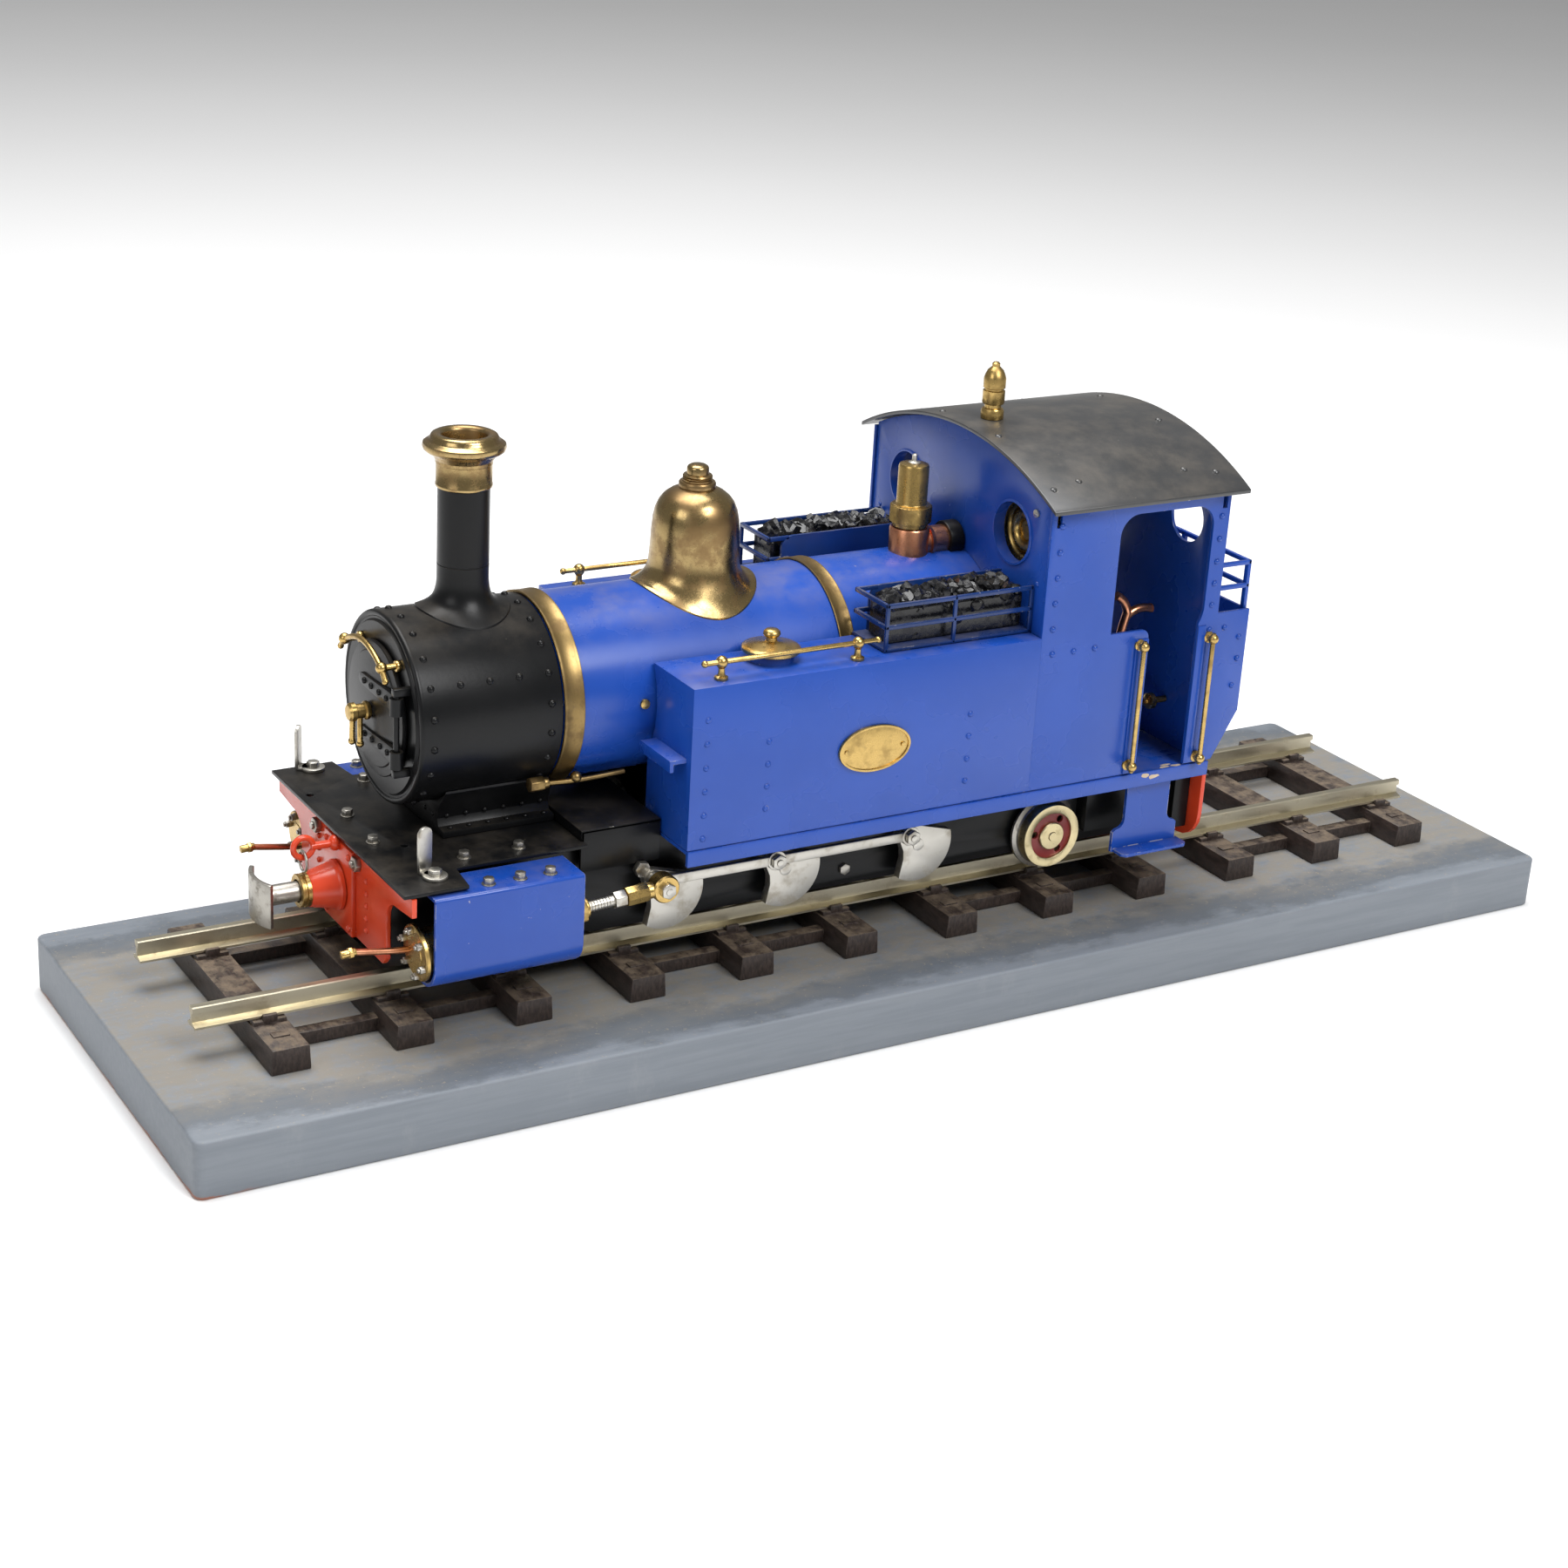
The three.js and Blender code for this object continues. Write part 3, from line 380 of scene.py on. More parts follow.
@dataclass(frozen=True)
class BoardPaint:
    """Grey board paint, brushed lengthways, with settled dust and dark worn patches."""

    name: str

    def make(self) -> bpy.types.Material:
        """Builds the material."""
        m = Material(self.name)
        brush = m.noise(2.4, 4, 0.6, stretch=(0.06, 1, 1))
        base = m.mix(brush.step(0.3, 0.7), (0.162, 0.182, 0.208), (0.19, 0.21, 0.236))
        across = m.node("ShaderNodeSeparateXYZ", output="Y", Vector=m.place())
        reach = m.node("ShaderNodeMath", {"operation": "ABSOLUTE"})
        m.tree.links.new(across.socket, reach.socket.node.inputs[0])
        wander = m.noise(30, 6, 0.7, stretch=(0.6, 1, 1), shift=(20, 3, 0))
        band = (reach + wander * 46 - 23)
        # A dark worn band on the top, wandering along either side of the track.
        wear_and_highlight = m.upward() * band.step(48, 56) * band.step(71, 63)
        base = m.mix(wear_and_highlight * 0.62, base, (0.07, 0.082, 0.096))
        dusty = m.noise(7, 7, 0.74, stretch=(0.8, 1, 1)).step(0.28, 0.6)
        dust = m.upward() * dusty * band.step(66, 46)
        base = m.mix(dust * 0.72, base, (0.235, 0.205, 0.16))
        crumbs = m.upward() * m.noise(1.5, 3, 0.7, shift=(4, 4, 4)).step(0.62, 0.7)
        base = m.mix(crumbs * 0.45, base, (0.34, 0.28, 0.2))
        worn = m.edges(1.4) * m.noise(8, 5, 0.7).step(0.46, 0.6)
        base = m.mix(worn * 0.6, base, (0.33, 0.34, 0.35))
        marks = (1 - m.upward()) * m.noise(13, 6, 0.75, stretch=(1, 1, 0.5)).step(0.55, 0.75)
        base = m.mix(marks * 0.25, base, (0.27, 0.28, 0.29))
        height = m.node("ShaderNodeSeparateXYZ", output="Z", Vector=m.place())
        length = m.node("ShaderNodeSeparateXYZ", output="X", Vector=m.place())
        bare = (height + m.noise(16, 5, 0.7, shift=(9, 9, 9)) * 5).step(3.7, 2.9) * length.step(-225, -240)
        base = m.mix(bare * 0.9, base, (0.3, 0.1, 0.05))
        m.set(Base_Color=base, Roughness=dust * 0.3 + brush * 0.15 + 0.48)
        return m.bump(brush * 0.6 + crumbs * 0.4, 0.2, 0.5).data


@dataclass(frozen=True)
class CoalFinish:
    """Glossy black lumps with dull grey dust on some faces."""

    name: str

    def make(self) -> bpy.types.Material:
        """Builds the material."""
        m = Material(self.name)
        dull = m.noise(2.6, 4, 0.7).step(0.45, 0.7)
        base = m.mix(dull, (0.005, 0.005, 0.006), (0.03, 0.029, 0.029))
        m.set(Base_Color=base, Roughness=dull * 0.3 + 0.2)
        return m.bump(m.noise(1.2, 3, 0.6), 0.1, 0.5).data


class Look(Enum):
    """Every finish on the model, with the record's slot it belongs to."""

    BLUE = ("blue_paint", Enamel("Blue enamel", (0.007, 0.056, 0.335), (0.012, 0.066, 0.37), 0.27,
                                 chips=0.3, dust=0.26))
    CHIPPED_BLUE = ("blue_paint", Enamel("Chipped blue enamel", (0.006, 0.052, 0.32),
                                         (0.01, 0.062, 0.35), 0.27, chips=1.0, dust=0.2))
    GRIMY_BLUE = ("blue_paint", Enamel("Grimy blue enamel", (0.005, 0.03, 0.15),
                                       (0.008, 0.026, 0.1), 0.26, chips=0.5, dust=0.35))
    BLACK = ("black_paint", Enamel("Black enamel", (0.0035, 0.0038, 0.0043), (0.006, 0.006, 0.0065),
                                   0.33, chips=0.12, dust=0.12, ripple=0.06, shine=0.24))
    # The roof's black paint is made lighter than the other black: a painted sheen for the roof's glancing
    # reflection of the bright surroundings.
    ROOF = ("black_paint", Enamel("Roof enamel with painted sheen", (0.03, 0.031, 0.0325), (0.04, 0.0405, 0.0415),
                                  0.31, chips=0.25, dust=0.2, ripple=0.05, shine=0.8))
    RED = ("red_paint", Enamel("Red enamel", (0.58, 0.045, 0.012), (0.66, 0.062, 0.02), 0.25,
                               chips=0.35, dust=0.1))
    DARK_RED = ("red_paint", Enamel("Wheel red enamel", (0.17, 0.012, 0.012), (0.2, 0.02, 0.018),
                                    0.35, chips=0.1, dust=0.1))
    BRASS = ("brass", Metal("Aged brass", (0.54, 0.37, 0.13), (0.33, 0.22, 0.08), 0.28,
                            cover=0.55, grime=0.3))
    DOME_BRASS = ("brass", Metal("Mottled brass", (0.4, 0.29, 0.13), (0.25, 0.155, 0.07), 0.21,
                                 blotch=8, cover=0.7, grime=0.35))
    DULL_BRASS = ("brass", Metal("Dull brass", (0.27, 0.185, 0.075), (0.16, 0.105, 0.048), 0.36,
                                 blotch=7, cover=0.6, grime=0.4))
    PALE_BRASS = ("brass", Metal("Turned brass", (0.6, 0.51, 0.3), (0.45, 0.37, 0.2), 0.3,
                                 blotch=4, cover=0.3, grime=0.12))
    COPPER = ("copper", Metal("Tarnished copper", (0.66, 0.3, 0.17), (0.36, 0.14, 0.075), 0.3,
                              blotch=5, cover=0.5, grime=0.3))
    STEEL = ("bright_steel", Metal("Worn steel", (0.56, 0.54, 0.49), (0.42, 0.38, 0.31), 0.38,
                                   blotch=6, cover=0.4, grime=0.1))
    DARK_STEEL = ("bright_steel", Metal("Dull steel", (0.42, 0.4, 0.36), (0.22, 0.2, 0.17), 0.36,
                                        blotch=3, cover=0.45, grime=0.3))
    RAIL = ("rail_metal", Metal("Drawn nickel silver", (0.6, 0.55, 0.42), (0.42, 0.36, 0.25), 0.34,
                                blotch=9, cover=0.3, lines=(0.03, 1, 1), grime=0.2))
    CREAM = ("blue_paint", Enamel("Bared filler", (0.62, 0.5, 0.36), (0.5, 0.38, 0.26), 0.6,
                                  chips=0.0, dust=0.2))
    SLEEPER = ("sleeper_plastic", SleeperPlastic("Dusty sleeper plastic"))
    BOARD = ("board_wood", BoardPaint("Grey board paint"))
    COAL = ("coal", CoalFinish("Moulded coal"))

    @property
    def slot(self) -> str:
        """The record's material slot."""
        return self.value[0]

    @property
    def material(self) -> bpy.types.Material:
        """The finish's material, made once."""
        finish = self.value[1]
        return bpy.data.materials.get(finish.name) or finish.make()


# ------------------------------------------------------------------ piece building
FRAMES = {
    "x": Matrix(((0, 0, 1, 0), (1, 0, 0, 0), (0, 1, 0, 0), (0, 0, 0, 1))),
    "y": Matrix(((1, 0, 0, 0), (0, 0, 1, 0), (0, 1, 0, 0), (0, 0, 0, 1))),
    "z": Matrix.Identity(4),
}


class Piece:
    """A mesh in the making, in millimetres above the board."""

    def __init__(self) -> None:
        """Starts empty."""
        self.bm = bmesh.new()

    def take(self, part: bmesh.types.BMesh, matrix: Matrix | None = None) -> "Piece":
        """Adds a finished shape and frees it.

        Args:
            part: The shape.
            matrix: Where it goes, if it isn't in place.

        Returns:
            This piece.
        """
        if matrix is not None:
            part.transform(matrix)
        bmesh.ops.recalc_face_normals(part, faces=part.faces)
        held = bpy.data.meshes.new("held")
        part.to_mesh(held)
        part.free()
        self.bm.from_mesh(held)
        bpy.data.meshes.remove(held)
        return self

    @staticmethod
    def round_edges(part: bmesh.types.BMesh, width: float, segments: int = 2,
                    limit: float = 30.0) -> None:
        """Rounds every edge sharper than ``limit`` degrees."""
        if width <= 0:
            return
        sharp = [e for e in part.edges if len(e.link_faces) == 2
                 and e.calc_face_angle(0) > math.radians(limit)]
        bmesh.ops.bevel(part, geom=sharp, offset=width, offset_type="OFFSET", segments=segments,
                        profile=0.5, affect="EDGES", clamp_overlap=True, material=-1)

    def box(self, x: Flat, y: Flat, z: Flat, bevel: float = 0.2, turn: Matrix | None = None) -> "Piece":
        """A box from its limits, with rounded edges."""
        part = bmesh.new()
        bmesh.ops.create_cube(part, size=1.0)
        size = [abs(b - a) for a, b in (x, y, z)]
        bmesh.ops.scale(part, vec=size, verts=part.verts)
        bmesh.ops.translate(part, vec=[(a + b) / 2 for a, b in (x, y, z)], verts=part.verts)
        self.round_edges(part, min(bevel, min(size) * 0.45))
        return self.take(part, turn)

    def rod(self, axis: str, radius: float, span: Flat, at: Point, sides: int = 32,
            bevel: float = 0.0, turn: Matrix | None = None) -> "Piece":
        """A round or many-sided bar along an axis."""
        part = bmesh.new()
        low, high = min(span), max(span)
        bmesh.ops.create_cone(part, cap_ends=True, segments=sides, radius1=radius, radius2=radius,
                              depth=high - low)
        bmesh.ops.translate(part, vec=(0, 0, (low + high) / 2), verts=part.verts)
        self.round_edges(part, bevel, limit=50.0)
        place = Matrix.Translation(at) @ FRAMES[axis]
        return self.take(part, (turn or Matrix.Identity(4)) @ place)

    def turned(self, axis: str, profile: Sequence[Flat], at: Point, sides: int = 64,
               turn: Matrix | None = None) -> "Piece":
        """A turned shape: profile holds (radius, distance along the axis)."""
        part = bmesh.new()
        verts = [part.verts.new((max(r, 0.0), 0, d)) for r, d in profile]
        edges = [part.edges.new(pair) for pair in zip(verts, verts[1:])]
        bmesh.ops.spin(part, geom=verts + edges, cent=(0, 0, 0), axis=(0, 0, 1), dvec=(0, 0, 0),
                       angle=2 * math.pi, steps=sides, use_merge=True)
        bmesh.ops.remove_doubles(part, verts=part.verts, dist=1e-4)
        place = Matrix.Translation(at) @ FRAMES[axis]
        return self.take(part, (turn or Matrix.Identity(4)) @ place)

    def sheet(self, axis: str, outline: Sequence[Flat], span: Flat,
              holes: Sequence[Sequence[Flat]] = (), bevel: float = 0.2,
              turn: Matrix | None = None) -> "Piece":
        """A flat sheet of one outline, drawn as (X, Y), (X, Z) or (Y, Z), with holes."""
        part = bmesh.new()
        edges = []
        for loop in (outline, *holes):
            verts = [part.verts.new((u, v, 0)) for u, v in loop]
            edges += [part.edges.new((a, b)) for a, b in zip(verts, verts[1:] + verts[:1])]
        bmesh.ops.triangle_fill(part, use_beauty=True, use_dissolve=False, edges=edges)
        low, high = min(span), max(span)
        made = bmesh.ops.extrude_face_region(part, geom=part.faces[:])["geom"]
        raised = [v for v in made if isinstance(v, bmesh.types.BMVert)]
        bmesh.ops.translate(part, vec=(0, 0, high - low), verts=raised)
        bmesh.ops.translate(part, vec=(0, 0, low), verts=part.verts)
        bmesh.ops.recalc_face_normals(part, faces=part.faces)
        self.round_edges(part, min(bevel, (high - low) * 0.45), limit=40.0)
        return self.take(part, (turn or Matrix.Identity(4)) @ FRAMES[axis])

    def ball(self, at: Point, radius: float, scale: Point = (1, 1, 1), sides: int = 20,
             turn: Matrix | None = None) -> "Piece":
        """A ball or a flattened ball."""
        part = bmesh.new()
        bmesh.ops.create_uvsphere(part, u_segments=sides, v_segments=sides // 2, radius=radius)
        bmesh.ops.scale(part, vec=scale, verts=part.verts)
        return self.take(part, (turn or Matrix.Identity(4)) @ Matrix.Translation(at))

    def wire(self, points: Sequence[Point], radius: float, loop: bool = False, sides: int = 4,
             turn: Matrix | None = None) -> "Piece":
        """A round wire or pipe through the points."""
        curve = bpy.data.curves.new("wire", "CURVE")
        curve.dimensions = "3D"
        curve.bevel_depth = radius
        curve.bevel_resolution = sides
        curve.use_fill_caps = not loop
        curve.resolution_u = 6
        line = curve.splines.new("NURBS")
        line.points.add(len(points) - 1)
        for spot, point in zip(line.points, points):
            spot.co = (*point, 1.0)
        line.order_u = 4 if len(points) > 3 else len(points)
        line.use_endpoint_u = not loop
        line.use_cyclic_u = loop
        holder = bpy.data.objects.new("wire", curve)
        made = bpy.data.meshes.new_from_object(holder)
        part = bmesh.new()
        part.from_mesh(made)
        bmesh.ops.remove_doubles(part, verts=part.verts, dist=1e-4)
        bpy.data.objects.remove(holder)
        bpy.data.curves.remove(curve)
        bpy.data.meshes.remove(made)
        return self.take(part, turn)

    def ring(self, axis: str, at: Point, radius: float, thick: float, sides: int = 48) -> "Piece":
        """A round ring of wire."""
        part = bmesh.new()
        bmesh.ops.create_circle(part, cap_ends=False, segments=12, radius=thick,
                                matrix=Matrix.Translation((radius, 0, 0))
                                @ Matrix.Rotation(math.pi / 2, 4, "X"))
        bmesh.ops.spin(part, geom=part.verts[:] + part.edges[:], cent=(0, 0, 0), axis=(0, 0, 1),
                       dvec=(0, 0, 0), angle=2 * math.pi, steps=sides, use_merge=True)
        bmesh.ops.remove_doubles(part, verts=part.verts, dist=1e-4)
        return self.take(part, Matrix.Translation(at) @ FRAMES[axis])

    def rivet(self, at: Point, normal: Point, radius: float = 0.75, height: float = 0.5) -> "Piece":
        """One round rivet head, half sunk in its sheet."""
        part = bmesh.new()
        bmesh.ops.create_uvsphere(part, u_segments=10, v_segments=6, radius=radius)
        bmesh.ops.scale(part, vec=(1, 1, height / radius), verts=part.verts)
        face = Vector(normal).to_track_quat("Z", "Y").to_matrix().to_4x4()
        return self.take(part, Matrix.Translation(at) @ face)

    def bolt(self, at: Point, normal: Point, radius: float = 2.0, height: float = 1.4,
             sides: int = 6, twist: float = 0.0) -> "Piece":
        """A bolt head standing on a sheet, six-sided unless told otherwise."""
        part = bmesh.new()
        bmesh.ops.create_cone(part, cap_ends=True, segments=sides, radius1=radius, radius2=radius,
                              depth=height)
        bmesh.ops.translate(part, vec=(0, 0, height / 2), verts=part.verts)
        self.round_edges(part, radius * 0.12, limit=25.0)
        face = Vector(normal).to_track_quat("Z", "Y").to_matrix().to_4x4()
        return self.take(part, Matrix.Translation(at) @ face @ Matrix.Rotation(twist, 4, "Z"))

    def refined(self, node: str, width: float, segments: int = 2) -> "Piece":
        """A merged copy of a CAD node's mesh with its sharp edges rounded.

        Args:
            node: The CAD node.
            width: How wide the rounding is, in millimetres.
            segments: Steps in the rounding.

        Returns:
            This piece.
        """
        part = bmesh.new()
        part.from_mesh(frame["nodes"][node].data)
        part.transform(Matrix.Scale(1 / MM, 4) @ Matrix.Translation((0, 0, -BOARD_TOP)))
        bmesh.ops.remove_doubles(part, verts=part.verts, dist=0.01)
        bmesh.ops.dissolve_limit(part, angle_limit=math.radians(0.6), use_dissolve_boundaries=False,
                                 verts=part.verts, edges=part.edges)
        self.round_edges(part, width, segments, limit=35.0)
        return self.take(part)

    def bend(self, shift: Callable[[Vector], Vector]) -> "Piece":
        """Moves every point by a rule."""
        for vert in self.bm.verts:
            vert.co = shift(vert.co)
        return self

    def place(self, name: str, body: str, look: Look, replaces: Iterable[str] = (),
              smooth: float = 38.0, turn: Matrix | None = None) -> bpy.types.Object:
        """Makes the object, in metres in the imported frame, and joins it to its body.

        Args:
            name: The object's name.
            body: The body it moves with.
            look: Its finish.
            replaces: The CAD nodes it stands for.
            smooth: Edges sharper than this many degrees stay sharp.
            turn: A last placing of the whole piece.

        Returns:
            The object.
        """
        if turn is not None:
            self.bm.transform(turn)
        self.bm.transform(Matrix.Translation((0, 0, BOARD_TOP)) @ Matrix.Scale(MM, 4))
        for face in self.bm.faces:
            face.smooth = True
        for edge in self.bm.edges:
            if len(edge.link_faces) == 2:
                edge.smooth = edge.calc_face_angle(0) < math.radians(smooth)
        mesh = bpy.data.meshes.new(name)
        self.bm.to_mesh(mesh)
        self.bm.free()
        mesh.materials.append(look.material)
        made = bpy.data.objects.new(name, mesh)
        bpy.context.scene.collection.objects.link(made)
        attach(made, body)
        replaced = list(replaces)
        if replaced:
            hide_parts(*replaced)
        LOG.info("%s: %d faces on %s", name, len(mesh.polygons), body)
        return made


# ------------------------------------------------------------------ display base
@dataclass
class DisplayBase:
    """The painted board and the track fixed to it."""

    corner: float = 3.0
    edge: float = 0.9
    sleeper_bevel: float = 0.55
    sleepers: int = 12
    pitch: float = 38.19
    width: float = 12.3
    rail_y: float = 23.95

    def build(self) -> None:
        """Makes the board and the sleepers, and finishes the rails."""
        self.board()
        self.track()
        for side in Side:
            rail = frame["nodes"][f"rail_{side.word}"]
            rail.data.materials.clear()
            rail.data.materials.append(Look.RAIL.material)

    def board(self) -> None:
        """The board, with rounded corners and softened edges."""
        box = Extent.of("plinth")
        part = bmesh.new()
        bmesh.ops.create_cube(part, size=1.0)
        bmesh.ops.scale(part, vec=box.hi - box.lo, verts=part.verts)
        bmesh.ops.translate(part, vec=box.mid, verts=part.verts)
        upright = [e for e in part.edges if abs(e.verts[0].co.z - e.verts[1].co.z) > 1]
        bmesh.ops.bevel(part, geom=upright, offset=self.corner, offset_type="OFFSET", segments=5,
                        profile=0.5, affect="EDGES", clamp_overlap=True, material=-1)
        rim = [e for e in part.edges if e.calc_face_angle(0) > math.radians(60)]
        bmesh.ops.bevel(part, geom=rim, offset=self.edge, offset_type="OFFSET", segments=3,
                        profile=0.5, affect="EDGES", clamp_overlap=True, material=-1)
        Piece().take(part).place("board", BASE, Look.BOARD, ["plinth"])

    def track(self) -> None:
        """Sleepers with their webs, rail seats and clips."""
        box = Extent.of("track_sleepers")
        first = box.lo.x + self.width / 2
        piece = Piece()
        for i in range(self.sleepers):
            x = first + i * self.pitch
            half = self.width / 2
            section = [(x - half, 0.05), (x + half, 0.05), (x + half - 0.5, 8), (x - half + 0.5, 8)]
            piece.sheet("y", section, (box.lo.y, box.hi.y), bevel=self.sleeper_bevel)
            for side in Side:
                rail = side.sign * self.rail_y
                piece.box((x - 5, x + 5), (rail - 4.6, rail + 4.6), (7.5, 9.3), 0.3)
                for edge in (-4.05, 4.05):
                    piece.box((x - 2.2, x + 2.2), (rail + edge - 0.75, rail + edge + 0.75), (8.5, 11), 0.3)
                outer = side.sign * 36
                piece.box((x - 2.6, x + 2.6), (outer - 1.6, outer + 1.6), (7.8, 8.5), 0.25)
                broken = side is Side.NEAR and i % 3 == 2
                if i + 1 < self.sleepers and not broken:
                    piece.box((x + half - 1, x + self.pitch - half + 1), side.span(26.5, 31), (0.4, 4.5),
                              0.35)
        piece.place("sleepers", BASE, Look.SLEEPER, ["track_sleepers"])


# ------------------------------------------------------------------ frames and front end
@dataclass
class FrontEnd:
    """Frames, buffer beams, buffer, running plate and saddle."""

    beam_x: float = -174.7
    pad_x: float = -176.2
    eye_z: float = 48.3
    plate_z: float = 52.2
    iron_turns: tuple[Point, ...] = ((-163.9, -43.1, -1.27), (-165.1, 47.4, -0.64))

    def build(self) -> None:
        """Makes every piece in order."""
        self.frames()
        self.beams()
        self.buffer()
        self.running_plate()
        self.saddle()

    def frames(self) -> None:
        """Side frames, with their bolts."""
        piece = Piece().refined("main_frame", 0.25)
        bolts = Piece()
        for side in Side:
            out = (0, side.sign, 0)
            bolts.bolt((-18.5, side.sign * 32.5, 25.7), out, 2.0, 1.2)
            bolts.bolt((-93.7, side.sign * 36, 40.4), out, 2.7, 2.4, twist=0.4)
        piece.place("frames", LOCO, Look.BLACK, ["main_frame"])
        bolts.place("frame_bolts", LOCO, Look.DARK_STEEL)

    def beams(self) -> None:
        """Front beam with its pad, eye, rivets and two bolts, and the rear beam."""
        half = [(51.7, 50.7), (51.7, 44.8), (40.5, 43.6), *arc(39.6, 37, 6.6, 90, 180, 8), (33, 24),
                (30.5, 21.5)]
        outline = half + [(-u, v) for u, v in reversed(half)]
        beam = Piece().sheet("x", outline, (self.beam_x, -173.1), bevel=0.3)
        beam.box((self.pad_x, -174.5), (-10.7, 10.7), (21.5, 49), 0.4)
        beam.rod("x", 1.2, (-184.6, -175.5), (0, 0, self.eye_z))
        beam.rod("x", 2.0, (-177.4, -175.9), (0, 0, self.eye_z), 6, 0.15)
        beam.ball((-177.2, 0, self.eye_z), 2.4, (0.8, 1, 1))
        beam.ring("y", (-187, 0, self.eye_z), 3.1, 0.95)
        for y in (-8.6, 8.6):
            for z in (23.6, 46.6):
                beam.rivet((self.pad_x, y, z), (-1, 0, 0), 1.1, 0.9)
        for y in (-18.6, 18.6):
            for z in (42.8, 38.8, 34.9, 30.9, 27):
                beam.rivet((self.beam_x, y, z), (-1, 0, 0), 0.95, 0.8)
        beam.place("front_beam_red", LOCO, Look.RED, ["front_beam"])
        rear = Piece().refined("rear_beam", 0.3)
        rear.place("rear_beam_red", LOCO, Look.RED, ["rear_beam"])
        bolts = Piece()
        for y, z in ((18.4, 46.6), (-12.6, 46.2)):
            bolts.bolt((self.beam_x, y, z), (-1, 0, 0), 2.5, 1.9, twist=0.5)
            bolts.rod("x", 1.2, (-177.4, -176.4), (0, y, z), 16, 0.2)
        bolts.place("beam_bolts", LOCO, Look.DARK_STEEL)

    def buffer(self) -> None:
        """Red cone with a brass ring, and the sprung plate in it."""
        z = Extent.of("buffer_housing").mid.z
        cone = Piece().turned("x", [(3.6, -177.6), (3.6, -186), (5.25, -186), (5.4, -185.7), (7.0, -178.6),
                                    (7.25, -178), (7.8, -177.6), (7.8, -176.6), (3.6, -176.6),
                                    (3.6, -177.6)], (0, 0, z))
        for i in range(4):
            a = math.radians(45 + 90 * i)
            cone.rivet((-177.7, 6.6 * math.cos(a), z + 6.6 * math.sin(a)), (-1, 0, 0), 0.7, 0.5)
        cone.place("buffer_cone", LOCO, Look.RED, ["buffer_housing"])
        ring = [(3.55, -186.05), (5.2, -186.05), (5.2, -187.2), (4.8, -187.4), (4.8, -187.9),
                (5.15, -188.1), (5.15, -188.8), (4.9, -189), (3.55, -189), (3.55, -186.05)]
        Piece().turned("x", ring, (0, 0, z)).place("buffer_ring", LOCO, Look.BRASS)
        outer = arc(-187, 0, 16, 147.5, 212.5, 20)
        inner = arc(-187, 0, 14.5, 212.5, 147.5, 20)
        head = Piece().sheet("z", outer + inner, (z - 7, z + 7), bevel=0.35)
        head.turned("x", [(0, -201.4), (3.1, -201.4), (3.1, -182.6), (0, -182.6)], (0, 0, z))
        head.place("buffer_plate", "buffer_head", Look.DARK_STEEL, ["buffer_head"])
        link = Piece().ring("x", (-187, 0, 43.9), 3.1, 0.45)
        link.place("coupling_ring", "link_ring", Look.DARK_STEEL, ["link_ring"])

    def running_plate(self) -> None:
        """Flat plate with its bolts, raised box over the first axle and two lamp irons."""
        edge = [(-177.1, 51.7), (-177.1, -51.7), (-157, -51.7), (-155.5, -38.8), (-113, -38.8),
                (-113, 38.8), (-155.5, 38.8), (-157, 51.7)]
        holes = [arc(-173.6, 28.4, 1.1, 0, 337.5, 15), arc(-162.7, -18.3, 1.1, 0, 337.5, 15)]
        plate = Piece().sheet("z", edge, (51, self.plate_z), holes, 0.25)
        plate.box((-113.8, -87.2), (-36, 36), (54.3, 55.5), 0.3)
        plate.box((-113.8, -112.6), (-36, 36), (51, 55.4), 0.3)
        for side in Side:
            plate.box((-113.8, -87.2), side.span(34.8, 36), (42, 55.4), 0.3)
        plate.place("front_plate", LOCO, Look.BLACK, ["running_plate"])
        bolts = Piece()
        for x, y in ((-154, 33.3), (-169.3, 9.3), (-170.1, -12.3), (-150.3, -33), (-132.6, -32.6),
                     (-132.6, 32.6)):
            bolts.bolt((x, y, self.plate_z), (0, 0, 1), 1.75, 2.1, twist=x)
            bolts.rod("z", 2.1, (52.1, 52.5), (x, y, 0), 24, 0.1)
        bolts.place("plate_bolts", LOCO, Look.DARK_STEEL)
        irons = Piece()
        for x, y, turn in self.iron_turns:
            place = Matrix.Translation((x, y, 0)) @ Matrix.Rotation(turn, 4, "Z")
            irons.rod("z", 3.7, (self.plate_z, 53.3), (x, y, 0), 40, 0.25)
            irons.bolt((x, y, 53.2), (0, 0, 1), 2.1, 1.8, twist=0.3)
            irons.box((-5, -1), (-2.2, 2.2), (self.plate_z, 53.3), 0.3, turn=place)
            outline = [(-2.2, 52.4), (2.2, 52.4), (2.4, 58), *arc(0, 64.1, 2.4, 0, 180, 12), (-2.4, 58)]
            irons.sheet("x", outline, (-5.2, -4.1), bevel=0.3, turn=place)
        irons.place("lamp_irons", LOCO, Look.STEEL)

    def saddle(self) -> None:
        """Smokebox saddle with its rows of rivets."""
        piece = Piece().refined("saddle", 0.3)
        for i in range(6):
            x = -147.5 + 6.1 * i
            for side in Side:
                piece.rivet((x, side.sign * 14.6, 57.8), (0, side.sign, 0), 0.75, 0.5)
                piece.rivet((x, side.sign * 16.9, 54.9), (0, 0, 1), 0.75, 0.5)
                piece.rivet((x, side.sign * 17.8, 66), (0, side.sign, -0.3), 0.75, 0.5)
        for y in (-11, -5.5, 0, 5.5, 11):
            piece.rivet((-150.5, y, 57.6), (-1, 0, 0), 0.75, 0.5)
        piece.place("saddle_riveted", LOCO, Look.BLACK, ["saddle"])


